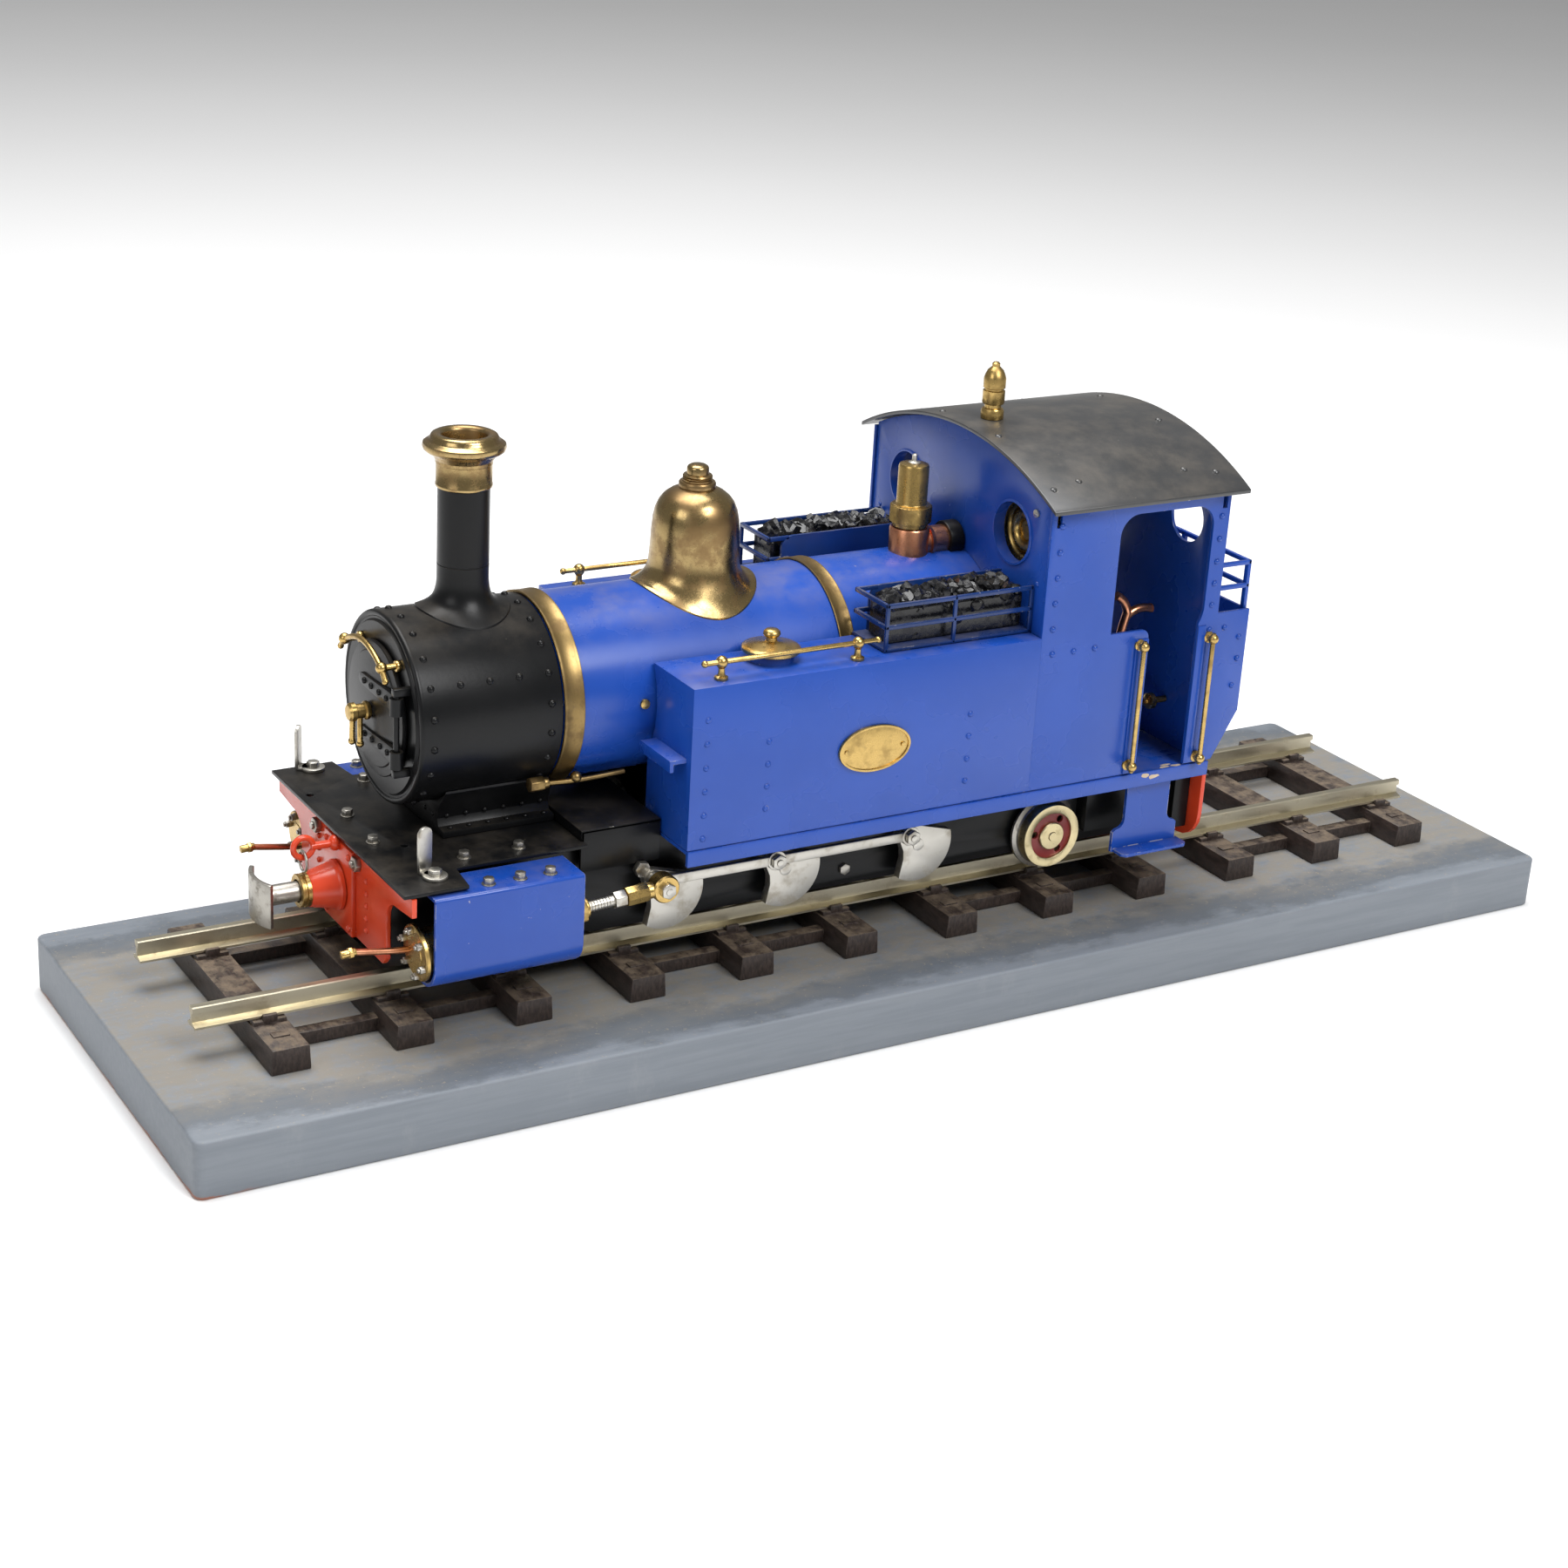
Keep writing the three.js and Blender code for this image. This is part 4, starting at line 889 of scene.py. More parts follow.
# ------------------------------------------------------------------ boiler
@dataclass
class Boiler:
    """Smokebox, barrel, bands, chimney, dome and safety valve."""

    axis_z: float = 89.0
    radius: float = 28.5
    smoke_radius: float = 29.0
    chimney_x: float = -136.9
    dome_x: float = -59.6
    valve_x: float = 18.8

    def build(self) -> None:
        """Makes every piece in order."""
        barrel = Extent.of("boiler_barrel")
        self.axis_z = barrel.mid.z
        self.chimney_x = Extent.of("chimney_cap").mid.x
        self.dome_x = Extent.of("dome").mid.x
        self.valve_x = Extent.of("safety_valve").mid.x
        self.smokebox()
        self.door()
        self.barrel(barrel)
        self.chimney()
        self.dome()
        self.safety_valve()

    def drum_rivet(self, piece: Piece, x: float, degrees: float, radius: float,
                   size: float = 1.15) -> None:
        """A rivet on a drum about the boiler's axis; 0 degrees is the top, 90 the near side."""
        a = math.radians(degrees)
        out = (0, -math.sin(a), math.cos(a))
        piece.rivet((x, radius * out[1], self.axis_z + radius * out[2]), out, size, 0.85)

    def smokebox(self) -> None:
        """Riveted drum, door post and the curved handrail over the door."""
        z = self.axis_z
        bead = [(r, x) for x, r in arc(-161.1, 27.9, 1.15, 75, 235, 8)]
        profile = [(25.5, -117.3), (28.9, -117.3), (29, -117.6), (29, -160.4), *bead, (26.3, -161.7),
                   (26.0, -162.0), (25.7, -162.6), (19.5, -162.6), (19.5, -159.6), (25.5, -159.6),
                   (25.5, -117.3)]
        drum = Piece().turned("x", profile, (0, 0, z), 112)
        for x in (-158.0, -120.8):
            for i in range(20):
                self.drum_rivet(drum, x, 7.5 + 18 * i, self.smoke_radius)
        for degrees in (61.5, -61.5):
            for x in (-148.7, -139.5, -130.2):
                self.drum_rivet(drum, x, degrees, self.smoke_radius)
        drum.rod("z", 0.9, (76, 101.5), (-166.5, -20.8, 0), 16, 0.2)
        for low in (75.2, 100.1):
            drum.box((-167.7, -162.2), (-21.9, -19.7), (low, low + 2.4), 0.3)
        drum.place("smokebox_drum", LOCO, Look.BLACK, ["smokebox"])
        rail_x = -168.2
        half = [(16.6, 103.6), (14.5, 106.2), (9, 109.3), (0, 111.3)]
        sweep = [(-y, up) for y, up in half[:-1]] + half[::-1]
        rail = Piece().wire([(rail_x, y, up) for y, up in sweep], 0.85)
        for side in Side:
            y = side.sign * 13.8
            rail.rod("x", 1.0, (-168, -162.2), (0, y, 106.6), 16)
            rail.rod("x", 1.7, (-164, -162.6), (0, y, 106.6), 20, 0.3)
            rail.ball((rail_x, y, 106.6), 1.75)
            rail.ball((rail_x, side.sign * 16.8, 103.4), 1.0)
        rail.place("door_rail", LOCO, Look.BRASS)

    def door(self) -> None:
        """Dished door, two straps with rivets and the dart handle."""
        z = self.axis_z
        dish = [(0, -162.9), (20.2, -162.9), (20.4, -163.2), (20.4, -164), (20.1, -164.3), (17.6, -164.6),
                (17.2, -165), (12, -165.6), (6, -165.95), (0, -166.05)]
        piece = Piece().turned("x", dish, (0, 0, z), 96)
        for level, rivets in ((97.0, (2.9, -2.2, -7.9, -13.3)), (80.6, (2.5, -3, -8.9, -14.2))):
            outline = [(-20.8, level - 2.6), (-13, level - 2.4), (5.5, level - 1.7),
                       *arc(5.5, level, 1.7, -80, 80, 6), (-13, level + 2.4), (-20.8, level + 2.6)]
            piece.sheet("x", outline, (-166.5, -164.4), bevel=0.35)
            piece.turned("z", [(1.15, level - 2.6), (2.0, level - 2.6), (2.0, level + 2.6),
                               (1.15, level + 2.6), (1.15, level - 2.6)], (-166.5, -20.8, 0), 24)
            for y in rivets:
                piece.rivet((-166.5, y, level), (-1, 0, 0), 1.05, 0.85)
        piece.place("smokebox_door_riveted", "smokebox_door", Look.BLACK, ["smokebox_door"])
        hub = [(0, -166.4), (2.6, -166.4), (2.8, -166.8), (2.8, -167.6), (2.2, -168), (2.2, -170.4),
               (2.8, -170.8), (2.8, -172.2), (2.2, -172.9), (0, -173.2)]
        handle = Piece().turned("x", hub, (0, 0, 88.8), 40)
        handle.wire([(-168.8, 0.4, 88.5), (-168.9, 0.5, 84), (-168.6, 0.9, 78)], 0.85)
        handle.wire([(-171.6, -0.6, 88.5), (-171.8, -0.8, 85), (-172, -1, 80)], 0.85)
        handle.ball((-168.6, 0.9, 78.2), 1.15)
        handle.ball((-172, -1, 80.2), 1.15)
        handle.place("door_handle_brass", "door_handle", Look.BRASS, ["door_handle"])

    def barrel(self, box: Extent) -> None:
        """Barrel, its bands and the small fittings beside it."""
        z = self.axis_z
        back = box.hi.x
        profile = [(9, box.lo.x), (self.radius, box.lo.x), (self.radius, back), (9, back), (9, box.lo.x)]
        Piece().turned("x", profile, (0, 0, z), 112).place("barrel", LOCO, Look.BLUE, ["boiler_barrel"])
        for node, lip in (("band_front", 0.9), ("band_rear", 0.5)):
            band = Extent.of(node)
            outer, low, high = band.hi.y, band.lo.x, band.hi.x
            edge = 0.18
            strap = [(28.8, low), (outer - edge, low), (outer, low + edge), (outer, low + lip),
                     (outer - 0.08, low + lip + 0.2), (outer - 0.08, high - lip - 0.2), (outer, high - lip),
                     (outer, high - edge), (outer - edge, high), (28.8, high), (28.8, low)]
            Piece().turned("x", strap, (0, 0, z), 112).place(f"{node}_brass", LOCO, Look.DULL_BRASS, [node])
        fitting = Piece().rod("x", 2.4, (-125.6, -121), (0, -24, 67.6), 6, 0.3)
        fitting.rod("x", 1.7, (-121.2, -119.4), (0, -24, 67.6), 20, 0.2)
        fitting.wire([(-120, -24, 67.4), (-112, -24, 66.6), (-104, -24, 66.8), (-94, -24, 67.4)], 0.8)
        fitting.ball((-110.1, -24, 67.9), 1.8)
        fitting.place("side_fitting", LOCO, Look.DULL_BRASS)
        screw = Piece().bolt((-90.2, -28.2, 90), (-0.1, -1, 0.05), 1.5, 1.3, 20)
        screw.place("barrel_screw", LOCO, Look.BRASS)

    def saddle_to_drum(self, foot: float, neck: float, drum: float) -> Callable[[Vector], Vector]:
        """A rule that lets a round foot follow the drum it stands on."""
        def follow(point: Vector, centre: float) -> Vector:
            """Lowers a point by how far the drum has fallen away under it."""
            reach = math.hypot(point.x - centre, point.y)
            fall = drum - math.sqrt(max(drum * drum - point.y * point.y, 0.0))
            return Vector((point.x, point.y, point.z - fall * ease(neck, foot, reach)))
        return follow

    def chimney(self) -> None:
        """Black chimney with a flared foot, and its brass cap."""
        top = self.axis_z + self.smoke_radius
        tube = [(6.3, 115), (14.0, top - 0.5), (14.1, top + 0.1), (13.9, top + 0.45), (13.2, top + 0.6),
                (11.6, top + 0.85), (10.2, top + 1.4), (9.1, top + 2.4), (8.3, top + 4), (7.85, top + 6),
                (7.65, top + 8), (7.65, 130.6), (7.45, 130.75), (7.45, 130.95), (7.65, 131.1),
                (7.65, 153.7), (6.3, 153.7), (6.3, 115)]
        follow = self.saddle_to_drum(13.6, 7.7, self.smoke_radius)
        piece = Piece().turned("z", tube, (self.chimney_x, 0, 0), 72)
        piece.bend(lambda p: follow(p, self.chimney_x))
        piece.place("chimney_black", LOCO, Look.BLACK, ["chimney"])
        cap = [(6.5, 154), (8.2, 154), (8.35, 154.3), (8.35, 154.9), (8.2, 155.1), (8.2, 160.8), (8.4, 161),
               (8.4, 161.9), (8.8, 162.4), (9.2, 163.2), (9.8, 163.9), (11.2, 164.4), (11.9, 165),
               (12.2, 165.9), (12.0, 166.8), (11.3, 167.3), (10.6, 167.5), (10.2, 167.9), (10.0, 168.6),
               (9.6, 169.3), (8.8, 169.7), (7.3, 169.6), (6.8, 169.2), (6.5, 168.5), (6.5, 154)]
        brass = Piece().turned("z", cap, (self.chimney_x, 0, 0), 80)
        brass.place("chimney_cap_brass", LOCO, Look.DOME_BRASS, ["chimney_cap"])

    def dome(self) -> None:
        """Bell-shaped brass dome on a skirt that follows the barrel."""
        top = self.axis_z + self.radius
        profile = [(10.8, top - 0.6), (19.4, top - 0.6), (19.6, top), (19.5, top + 0.45),
                   (19.0, top + 0.75), (18.1, top + 0.7), (16.8, top + 0.9), (15.6, top + 1.6),
                   (14.7, top + 2.9), (14.1, top + 5), (13.9, top + 8), (13.75, 128), (13.5, 133),
                   (13.2, 136.5), (12.6, 139.4), (11.6, 141.7), (10.1, 143.6), (8.2, 145), (6.6, 145.7),
                   (5.6, 146), (5.7, 146.3), (5.7, 147.6), (5.4, 148), (4.6, 148.1), (4.6, 148.6),
                   (4.2, 148.8), (4.6, 149.1), (4.2, 149.4), (4.6, 149.7), (4.3, 150.1), (3.4, 150.3),
                   (3.4, 152.1), (3.1, 152.7), (2.2, 153.2), (0, 153.3)]
        follow = self.saddle_to_drum(19.2, 14.3, self.radius)
        inside = [(0, 137), (10, 135), (10.8, 133), (10.8, top - 0.6)]
        piece = Piece().turned("z", inside + profile[1:], (self.dome_x, 0, 0), 96)
        piece.bend(lambda p: follow(p, self.dome_x))
        piece.place("dome_brass", LOCO, Look.DOME_BRASS, ["dome"])

    def safety_valve(self) -> None:
        """Copper bush and elbow, and the knurled brass valve that screws into it."""
        x, z = self.valve_x, 119.8
        bush = Piece().turned("z", [(4.9, 112), (6.4, 112), (6.5, 124.9), (6.1, 125.5), (4.9, 125.5),
                                    (4.9, 112)], (x, 0, 0), 48)
        bush.rod("x", 4.8, (x + 2, 36), (0, 0, z), 40)
        bush.turned("x", [(3.5, 24.6), (5.6, 24.8), (5.2, 26.2), (3.5, 26.4), (3.5, 24.6)], (0, 0, z), 40)
        bush.place("valve_bush_copper", LOCO, Look.COPPER, ["valve_bush"])
        collar = Piece().turned("x", [(4.7, 31.6), (5.8, 31.6), (6, 32), (6, 36.4), (4.7, 36.4),
                                      (4.7, 31.6)], (0, 0, z), 40)
        collar.place("elbow_collar", LOCO, Look.BLACK)
        body = Piece().turned("z", [(0, 119.3), (4.4, 119.3), (4.4, 125.9), (5.7, 125.9), (5.7, 126.8),
                                    (6.1, 127), (6.1, 133), (5.1, 133.2), (4.9, 133.6), (4.9, 145.3),
                                    (4.6, 146), (3.8, 146.2), (0, 146.2)], (x, 0, 0), 56)
        body.take(self.knurl(6.5, 127.1, 132.9, 32, 9, 0.26), Matrix.Translation((x, 0, 0)))
        body.place("safety_valve_brass", "safety_valve", Look.BRASS, ["safety_valve"])
        pin = Piece().turned("z", [(0, 146), (2, 146), (2, 146.6), (1, 147), (0.85, 147.4), (0.85, 148.9),
                                   (0.5, 149.3), (0, 149.3)], (x, 0, 0), 24)
        pin.place("safety_valve_pin", "safety_valve", Look.STEEL)

    @staticmethod
    def knurl(radius: float, low: float, high: float, around: int, rows: int,
              depth: float) -> bmesh.types.BMesh:
        """A diamond-knurled band.

        Args:
            radius: Middle radius.
            low: Bottom.
            high: Top.
            around: Diamonds around the band.
            rows: Rows of points.
            depth: How far points stand out and in.

        Returns:
            The band as a closed shape.
        """
        part = bmesh.new()
        step = (high - low) / rows
        profile = [(radius - 0.7, low)] + [(radius, low + step * (i + 0.5)) for i in range(rows)]
        profile.append((radius - 0.7, high))
        verts = [part.verts.new((r, 0, d)) for r, d in profile]
        edges = [part.edges.new(pair) for pair in zip(verts, verts[1:])]
        bmesh.ops.spin(part, geom=verts + edges, cent=(0, 0, 0), axis=(0, 0, 1), dvec=(0, 0, 0),
                       angle=2 * math.pi, steps=around * 2, use_merge=True)
        for vert in part.verts:
            reach = math.hypot(vert.co.x, vert.co.y)
            if reach < radius - 0.35:
                continue
            turn = round(math.atan2(vert.co.y, vert.co.x) / math.pi * around)
            row = round((vert.co.z - low) / step - 0.5)
            push = depth if (turn + row) % 2 else -depth
            vert.co.xy *= (reach + push) / reach
        ends = [e for e in part.edges if e.is_boundary]
        bmesh.ops.holes_fill(part, edges=ends, sides=0)
        return part


# ------------------------------------------------------------------ tanks
@dataclass
class Tanks:
    """Side tanks with their lids, rails, plates and coal."""

    lumps: int = 210

    def build(self) -> None:
        """Makes both sides."""
        for side in Side:
            self.tank(side)
            self.lid(side)
            self.rail(side)
            self.plate(side)
            self.tray(side)
            self.coal(side)

    def tank(self, side: Side) -> None:
        """The tank's shell with its shelf and columns of rivets."""
        node = f"tank_{side.word}"
        box = Extent.of(node)
        face = side.sign * max(abs(box.lo.y), abs(box.hi.y))
        piece = Piece().refined(node, 0.35)
        columns = ((-81.6, (91.7, 84.2, 76.6, 69.1, 61.5, 54)), (-60.4, (82, 74.8, 67.6, 60.4)),
                   (11.8, (80.5, 73.2, 65.6, 58.2)))
        for x, heights in columns:
            for z in heights:
                piece.rivet((x, face, z), (0, side.sign, 0), 1.0, 0.7)
        piece.place(f"tank_{side.word}_shell", LOCO, Look.BLUE, [node])

    def lid(self, side: Side) -> None:
        """Lift-off filler lid."""
        node = f"filler_lid_{side.word}"
        mid = Extent.of(node).mid
        shape = [(0, 102.6), (4.5, 102.6), (4.5, 104.4), (8.7, 104.4), (9, 104.7), (9, 105.6), (8.6, 106),
                 (7.2, 106.3), (4.6, 106.9), (2.2, 107.3), (1.7, 107.7), (1.7, 108.7), (2.4, 109.2),
                 (2.7, 109.8), (2.5, 110.6), (1.8, 111.2), (0, 111.3)]
        Piece().turned("z", shape, (mid.x, mid.y, 0), 64).place(f"{node}_brass", node, Look.BRASS, [node])

    def rail(self, side: Side) -> None:
        """Handrail on two knobbed posts."""
        node = f"tank_handrail_{side.word}"
        box = Extent.of(node)
        y = box.mid.y
        piece = Piece().rod("x", 0.8, (box.lo.x, box.hi.x), (0, y, 107.3), 16, 0.3)
        for x in (-75, -28):
            piece.turned("z", [(0, 102), (2.1, 102), (2.1, 102.8), (1.3, 103.2), (1.0, 104), (1.0, 105.4),
                               (1.4, 105.9), (0, 106)], (x, y, 0), 24)
            piece.ball((x, y, 107.3), 1.9)
        for x in (box.lo.x + 0.6, box.hi.x - 0.6):
            piece.ball((x, y, 107.3), 1.1, sides=12)
        piece.place(f"{node}_brass", LOCO, Look.BRASS, [node])

    def plate(self, side: Side) -> None:
        """Plain oval plate with a raised rim and two screws."""
        node = f"nameplate_{side.word}"
        box = Extent.of(node)
        cx, cz = box.mid.x, box.mid.z
        a, b = (box.hi.x - box.lo.x) / 2, (box.hi.z - box.lo.z) / 2
        turns = [2 * math.pi * i / 64 for i in range(64)]
        oval = [(cx + a * math.cos(t), cz + b * math.sin(t)) for t in turns]
        inner = [(cx + (a - 0.8) * math.cos(t), cz + (b - 0.8) * math.sin(t)) for t in turns]
        piece = Piece().sheet("y", oval, side.span(51.95, 52.7), bevel=0.12)
        piece.sheet("y", oval, side.span(52.5, 53.0), [inner], 0.12)
        for x in (cx - a + 2.6, cx + a - 2.6):
            piece.bolt((x, side.sign * 52.7, cz), (0, side.sign, 0), 0.8, 0.4, 16)
        piece.place(f"{node}_brass", LOCO, Look.BRASS, [node])

    def tray(self, side: Side) -> None:
        """Open coal tray: floor, inner plate and two rails round the outside."""
        node = f"coal_tray_{side.word}"
        x0, x1, z0, z1 = -17.5, 36.4, 102.2, 117.5
        inside, out = 26.5, 45.5
        piece = Piece().box((x0, x1), side.span(inside, out), (z0, z0 + 1), 0.25)
        inner = [(x0 + 5, z0), (x1, z0), (x1, z1), *arc(x0 + 9, z1 - 4, 4, 90, 180, 6)]
        piece.sheet("y", inner, side.span(inside, inside + 1), bevel=0.25)
        for z in (z1 - 1.5, 109.2):
            piece.box((x0, x1), side.span(out - 1.1, out), (z, z + 1.5), 0.35)
            piece.box((x0, x0 + 1.1), side.span(inside, out), (z, z + 1.5), 0.35)
            piece.box((x0, x0 + 8), side.span(inside, inside + 1.1), (z, z + 1.5), 0.35)
        for x in (x0, 7, x1 - 1.1):
            piece.box((x, x + 1.3), side.span(out - 1.1, out), (z0, z1), 0.35)
        piece.place(f"{node}_blue", LOCO, Look.GRIMY_BLUE, [node])

    def coal(self, side: Side) -> None:
        """A bed of coal with loose lumps heaped on it."""
        node = f"coal_{side.word}"
        dice = random.Random(7 + side.sign)
        box = Extent.of(node)
        low, high = side.span(27.9, 44)
        piece = Piece().box((box.lo.x + 2, box.hi.x - 1), (low + 2, high - 2), (box.lo.z, box.hi.z - 5.5),
                            0.8)
        for _ in range(self.lumps):
            size = dice.uniform(2.7, 4.9)
            x = dice.uniform(box.lo.x + size * 0.8, box.hi.x - size * 0.8)
            y = dice.uniform(low + size * 0.7, high - size * 0.7)
            z = dice.uniform(box.lo.z + size * 0.6, box.hi.z - size * 0.9)
            if dice.random() < 0.55:
                z = dice.uniform(box.hi.z - 6.5, box.hi.z - size * 0.8)
            self.lump(piece, (x, y, z), size, dice)
        piece.place(f"{node}_lumps", LOCO, Look.COAL, [node], smooth=3)

    @staticmethod
    def lump(piece: Piece, at: Point, size: float, dice: random.Random) -> None:
        """One angular lump, cut from a rough ball by a few planes."""
        part = bmesh.new()
        bmesh.ops.create_icosphere(part, subdivisions=1, radius=size)
        for _ in range(6):
            normal = Vector([dice.gauss(0, 1) for _ in range(3)]).normalized()
            cut = normal * size * dice.uniform(0.3, 0.62)
            made = bmesh.ops.bisect_plane(part, geom=part.verts[:] + part.edges[:] + part.faces[:],
                                          plane_co=cut, plane_no=normal, clear_outer=True)
            rim = [e for e in made["geom_cut"] if isinstance(e, bmesh.types.BMEdge)]
            bmesh.ops.holes_fill(part, edges=rim, sides=0)
        bmesh.ops.scale(part, vec=[dice.uniform(0.7, 1.0) for _ in range(3)], verts=part.verts)
        piece.take(part, Matrix.Translation(at))


# ------------------------------------------------------------------ cab
@dataclass
class Cab:
    """Cab sheets, footplate, roof, bunker and what is inside."""

    side_y: float = 51.9
    sheet: float = 1.2
    roof_radius: float = 118.0
    roof_z: float = 40.5
    roof_half: float = 56.2
    floor_z: float = 50.8
    front_x: float = 37.0
    door_x: Flat = (78.5, 98.4)
    pivot: Flat = (-47.6, 139.9)
    rivet: Flat = (1.05, 0.85)
    window_y: float = 30.6
    window_z: float = 130.4
    window_radius: float = 9.8

    def build(self) -> None:
        """Makes every piece in order."""
        self.end_walls()
        for side in Side:
            self.side(side)
            self.handrails(side)
        self.footplate()
        self.roof()
        self.fittings()

    def roof_line(self, half: float, radius: float, steps: int = 40) -> list[Flat]:
        """Points of the roof's curve, from +Y to -Y."""
        lean = math.degrees(math.asin(half / radius))
        return arc(0, self.roof_z, radius, 90 - lean, 90 + lean, steps)

    def end_walls(self) -> None:
        """Front wall with lined windows, rear wall, bunker and its rails."""
        half = self.side_y - self.sheet - 0.3
        outline = [(-half, self.floor_z), (half, self.floor_z),
                   *self.roof_line(half, self.roof_radius - 1.7)]
        z = Extent.of("boiler_barrel").mid.z
        windows = [arc(side.sign * self.window_y, self.window_z, self.window_radius, 0, 352.5, 47)
                   for side in Side]
        boiler = arc(0, z, 28.7, 0, 354, 59)
        front = Piece().sheet("x", outline, (self.front_x, self.front_x + self.sheet), [*windows, boiler],
                              0.2)
        for side in Side:
            front.rivet((self.front_x, side.sign * 46, 118), (-1, 0, 0), 0.8, 0.5)
        front.rod("x", 0.6, (37.5, 40.4), (0, *self.pivot), 12)
        front.place("cab_front", LOCO, Look.BLUE, ["cab_front_wall"])
        rims = Piece()
        for side in Side:
            rims.turned("x", [(9.7, 36.6), (10.3, 36.6), (10.5, 36.8), (10.5, 37.4), (10.2, 37.4),
                              (10.2, 40.6), (9.7, 40.6), (9.7, 36.6)],
                        (0, side.sign * self.window_y, self.window_z), 64)
        rims.place("window_rims", LOCO, Look.BLUE)
        screw = Piece().bolt((self.front_x, -42.9, 140), (-1, 0, 0), 1.3, 0.8, 20)
        screw.rod("x", 0.6, (35.9, 36.3), (0, -42.9, 140), 12, 0.1)
        screw.place("front_wall_screw", LOCO, Look.STEEL)
        back = [arc(side.sign * 32.5, 129, 8.2, 0, 352.5, 47) for side in Side]
        rear = Piece().sheet("x", outline, (104.8, 106), back, 0.2)
        rear.rod("x", 0.6, (102.6, 105.5), (0, *self.pivot), 12)
        bunker = [(108.6, self.floor_z), (110, self.floor_z), (119, 67), (119, 102), (117.8, 102),
                  (117.8, 67.3)]
        rear.sheet("y", bunker, (-half, half), bevel=0.25)
        for low in (108.8, 116.6):
            rear.box((117.6, 119), (-half, half), (low, low + 1.6), 0.35)
            for side in Side:
                rear.box((105.5, 119), side.span(half - 1.3, half), (low, low + 1.6), 0.35)
        for y in (-half, -17, 15, half - 2):
            rear.box((117.6, 119), (y, y + 2), (101.5, 118), 0.35)
        for y in range(-40, 41, 10):
            rear.rivet((119, y, 97), (1, 0, 0), 0.8, 0.5)
        rear.place("cab_rear", LOCO, Look.BLUE, ["cab_rear_wall"])

    def side(self, side: Side) -> None:
        """Side sheet with the doorway, beading and rivets."""
        seam, floor = 36.45, self.floor_z
        left, right = self.door_x
        outline = [(seam, floor), (left, floor), (left, 97.2), *arc(75.7, 97.2, 2.8, 12, 90, 6),
                   (63.3, 100), (63.3, 132), *arc(70.3, 132, 7, 170, 90, 8), *arc(93, 132, 7, 90, 0, 8),
                   (100, 104), (99.4, 101.4), (right, 99.4), (right, floor), (110, floor), (119, 67),
                   (119, 102), (106, 102), (106, 144.1), (seam, 144.1)]
        if side is Side.NEAR:
            slots = [(104.7, 144.1), (104.7, 137.5), (102.9, 137.5), (102.9, 144.1), (40.1, 144.1),
                     (40.1, 137.5), (38.3, 137.5), (38.3, 144.1)]
            outline = outline[:-1] + slots + outline[-1:]
        y = side.span(self.side_y - self.sheet, self.side_y)
        piece = Piece().sheet("y", outline, y, bevel=0.22)
        out = side.sign * self.side_y
        normal = (0, side.sign, 0)
        bead = side.span(self.side_y - 0.2, self.side_y + 0.5)
        piece.box((73.6, 78.6), bead, (51, 97), 0.3)
        piece.box((98.3, 101.6), bead, (51, 98.6), 0.3)
        for z in (138, 129.6, 121.3, 113, 104.6):
            piece.rivet((40.3, out, z), normal, *self.rivet)
        for x in (41, 49.2, 57.4):
            piece.rivet((x, out, 96.3), normal, *self.rivet)
        for z in (135, 127.4, 119.8, 112.5, 105.2):
            piece.rivet((102.9, out, z), normal, *self.rivet)
        for x, z in ((103.1, 96.8), (109.3, 96.8), (115.8, 92.8), (116.1, 85.3), (115.2, 76)):
            piece.rivet((x, out, z), normal, 1.0, 0.8)
        piece.place(f"cab_side_{side.word}_sheet", LOCO, Look.BLUE, [f"cab_side_{side.word}"])

    def handrails(self, side: Side) -> None:
        """Two upright rails beside the doorway."""
        post = [(0, 51.9), (1.9, 51.9), (1.9, 52.5), (1.2, 52.8), (1.0, 53.4), (1.0, 54.2), (0, 54.2)]
        for which in ("front", "rear"):
            node = f"door_handrail_{which}_{side.word}"
            box = Extent.of(node)
            x, y = box.mid.x, side.sign * 54.6
            piece = Piece().rod("z", 0.8, (box.lo.z, box.hi.z), (x, y, 0), 16, 0.3)
            for z in (box.lo.z + 2, box.hi.z - 2):
                piece.ball((x, y, z), 1.75)
                piece.turned("y", [(r, side.sign * d) for r, d in post], (x, 0, z), 24)
            piece.place(f"{node}_brass", LOCO, Look.BRASS, [node])

    def footplate(self) -> None:
        """Footplate, valances and steps."""
        plate = Piece().box((36.5, 108.9), (-51.2, 51.2), (49.3, 50.5), 0.2)
        steps = Piece()
        for side in Side:
            plate.box((-86.6, 37), side.span(27.2, 51.2), (49.3, 50.5), 0.2)
            plate.box((-86.6, 108.9), side.span(50.9, 52.4), (45.5, 50.5), 0.3)
            half = [(79, 49.9), (79, 33), *arc(76, 33, 3, 0, -90, 5), (74.6, 29), (74.6, 22.2),
                    (100.6, 22.2), (100.6, 29), (99.5, 30), *arc(99.5, 33, 3, -90, -180, 5), (96.5, 49.9)]
            steps.sheet("y", half, side.span(48, 49.2), bevel=0.25)
            tread = [(75.4, 48.2), (102, 48.2), (102, 53.6), (100.6, 55), (76.8, 55), (75.4, 53.6)]
            flat = [(u, side.sign * v) for u, v in tread]
            steps.sheet("z", flat, (22, 23.2), bevel=0.3)
        plate.place("cab_footplate", LOCO, Look.BLUE, ["rear_footplate"])
        self.worn_edges()
        steps.place("cab_steps", LOCO, Look.CHIPPED_BLUE)

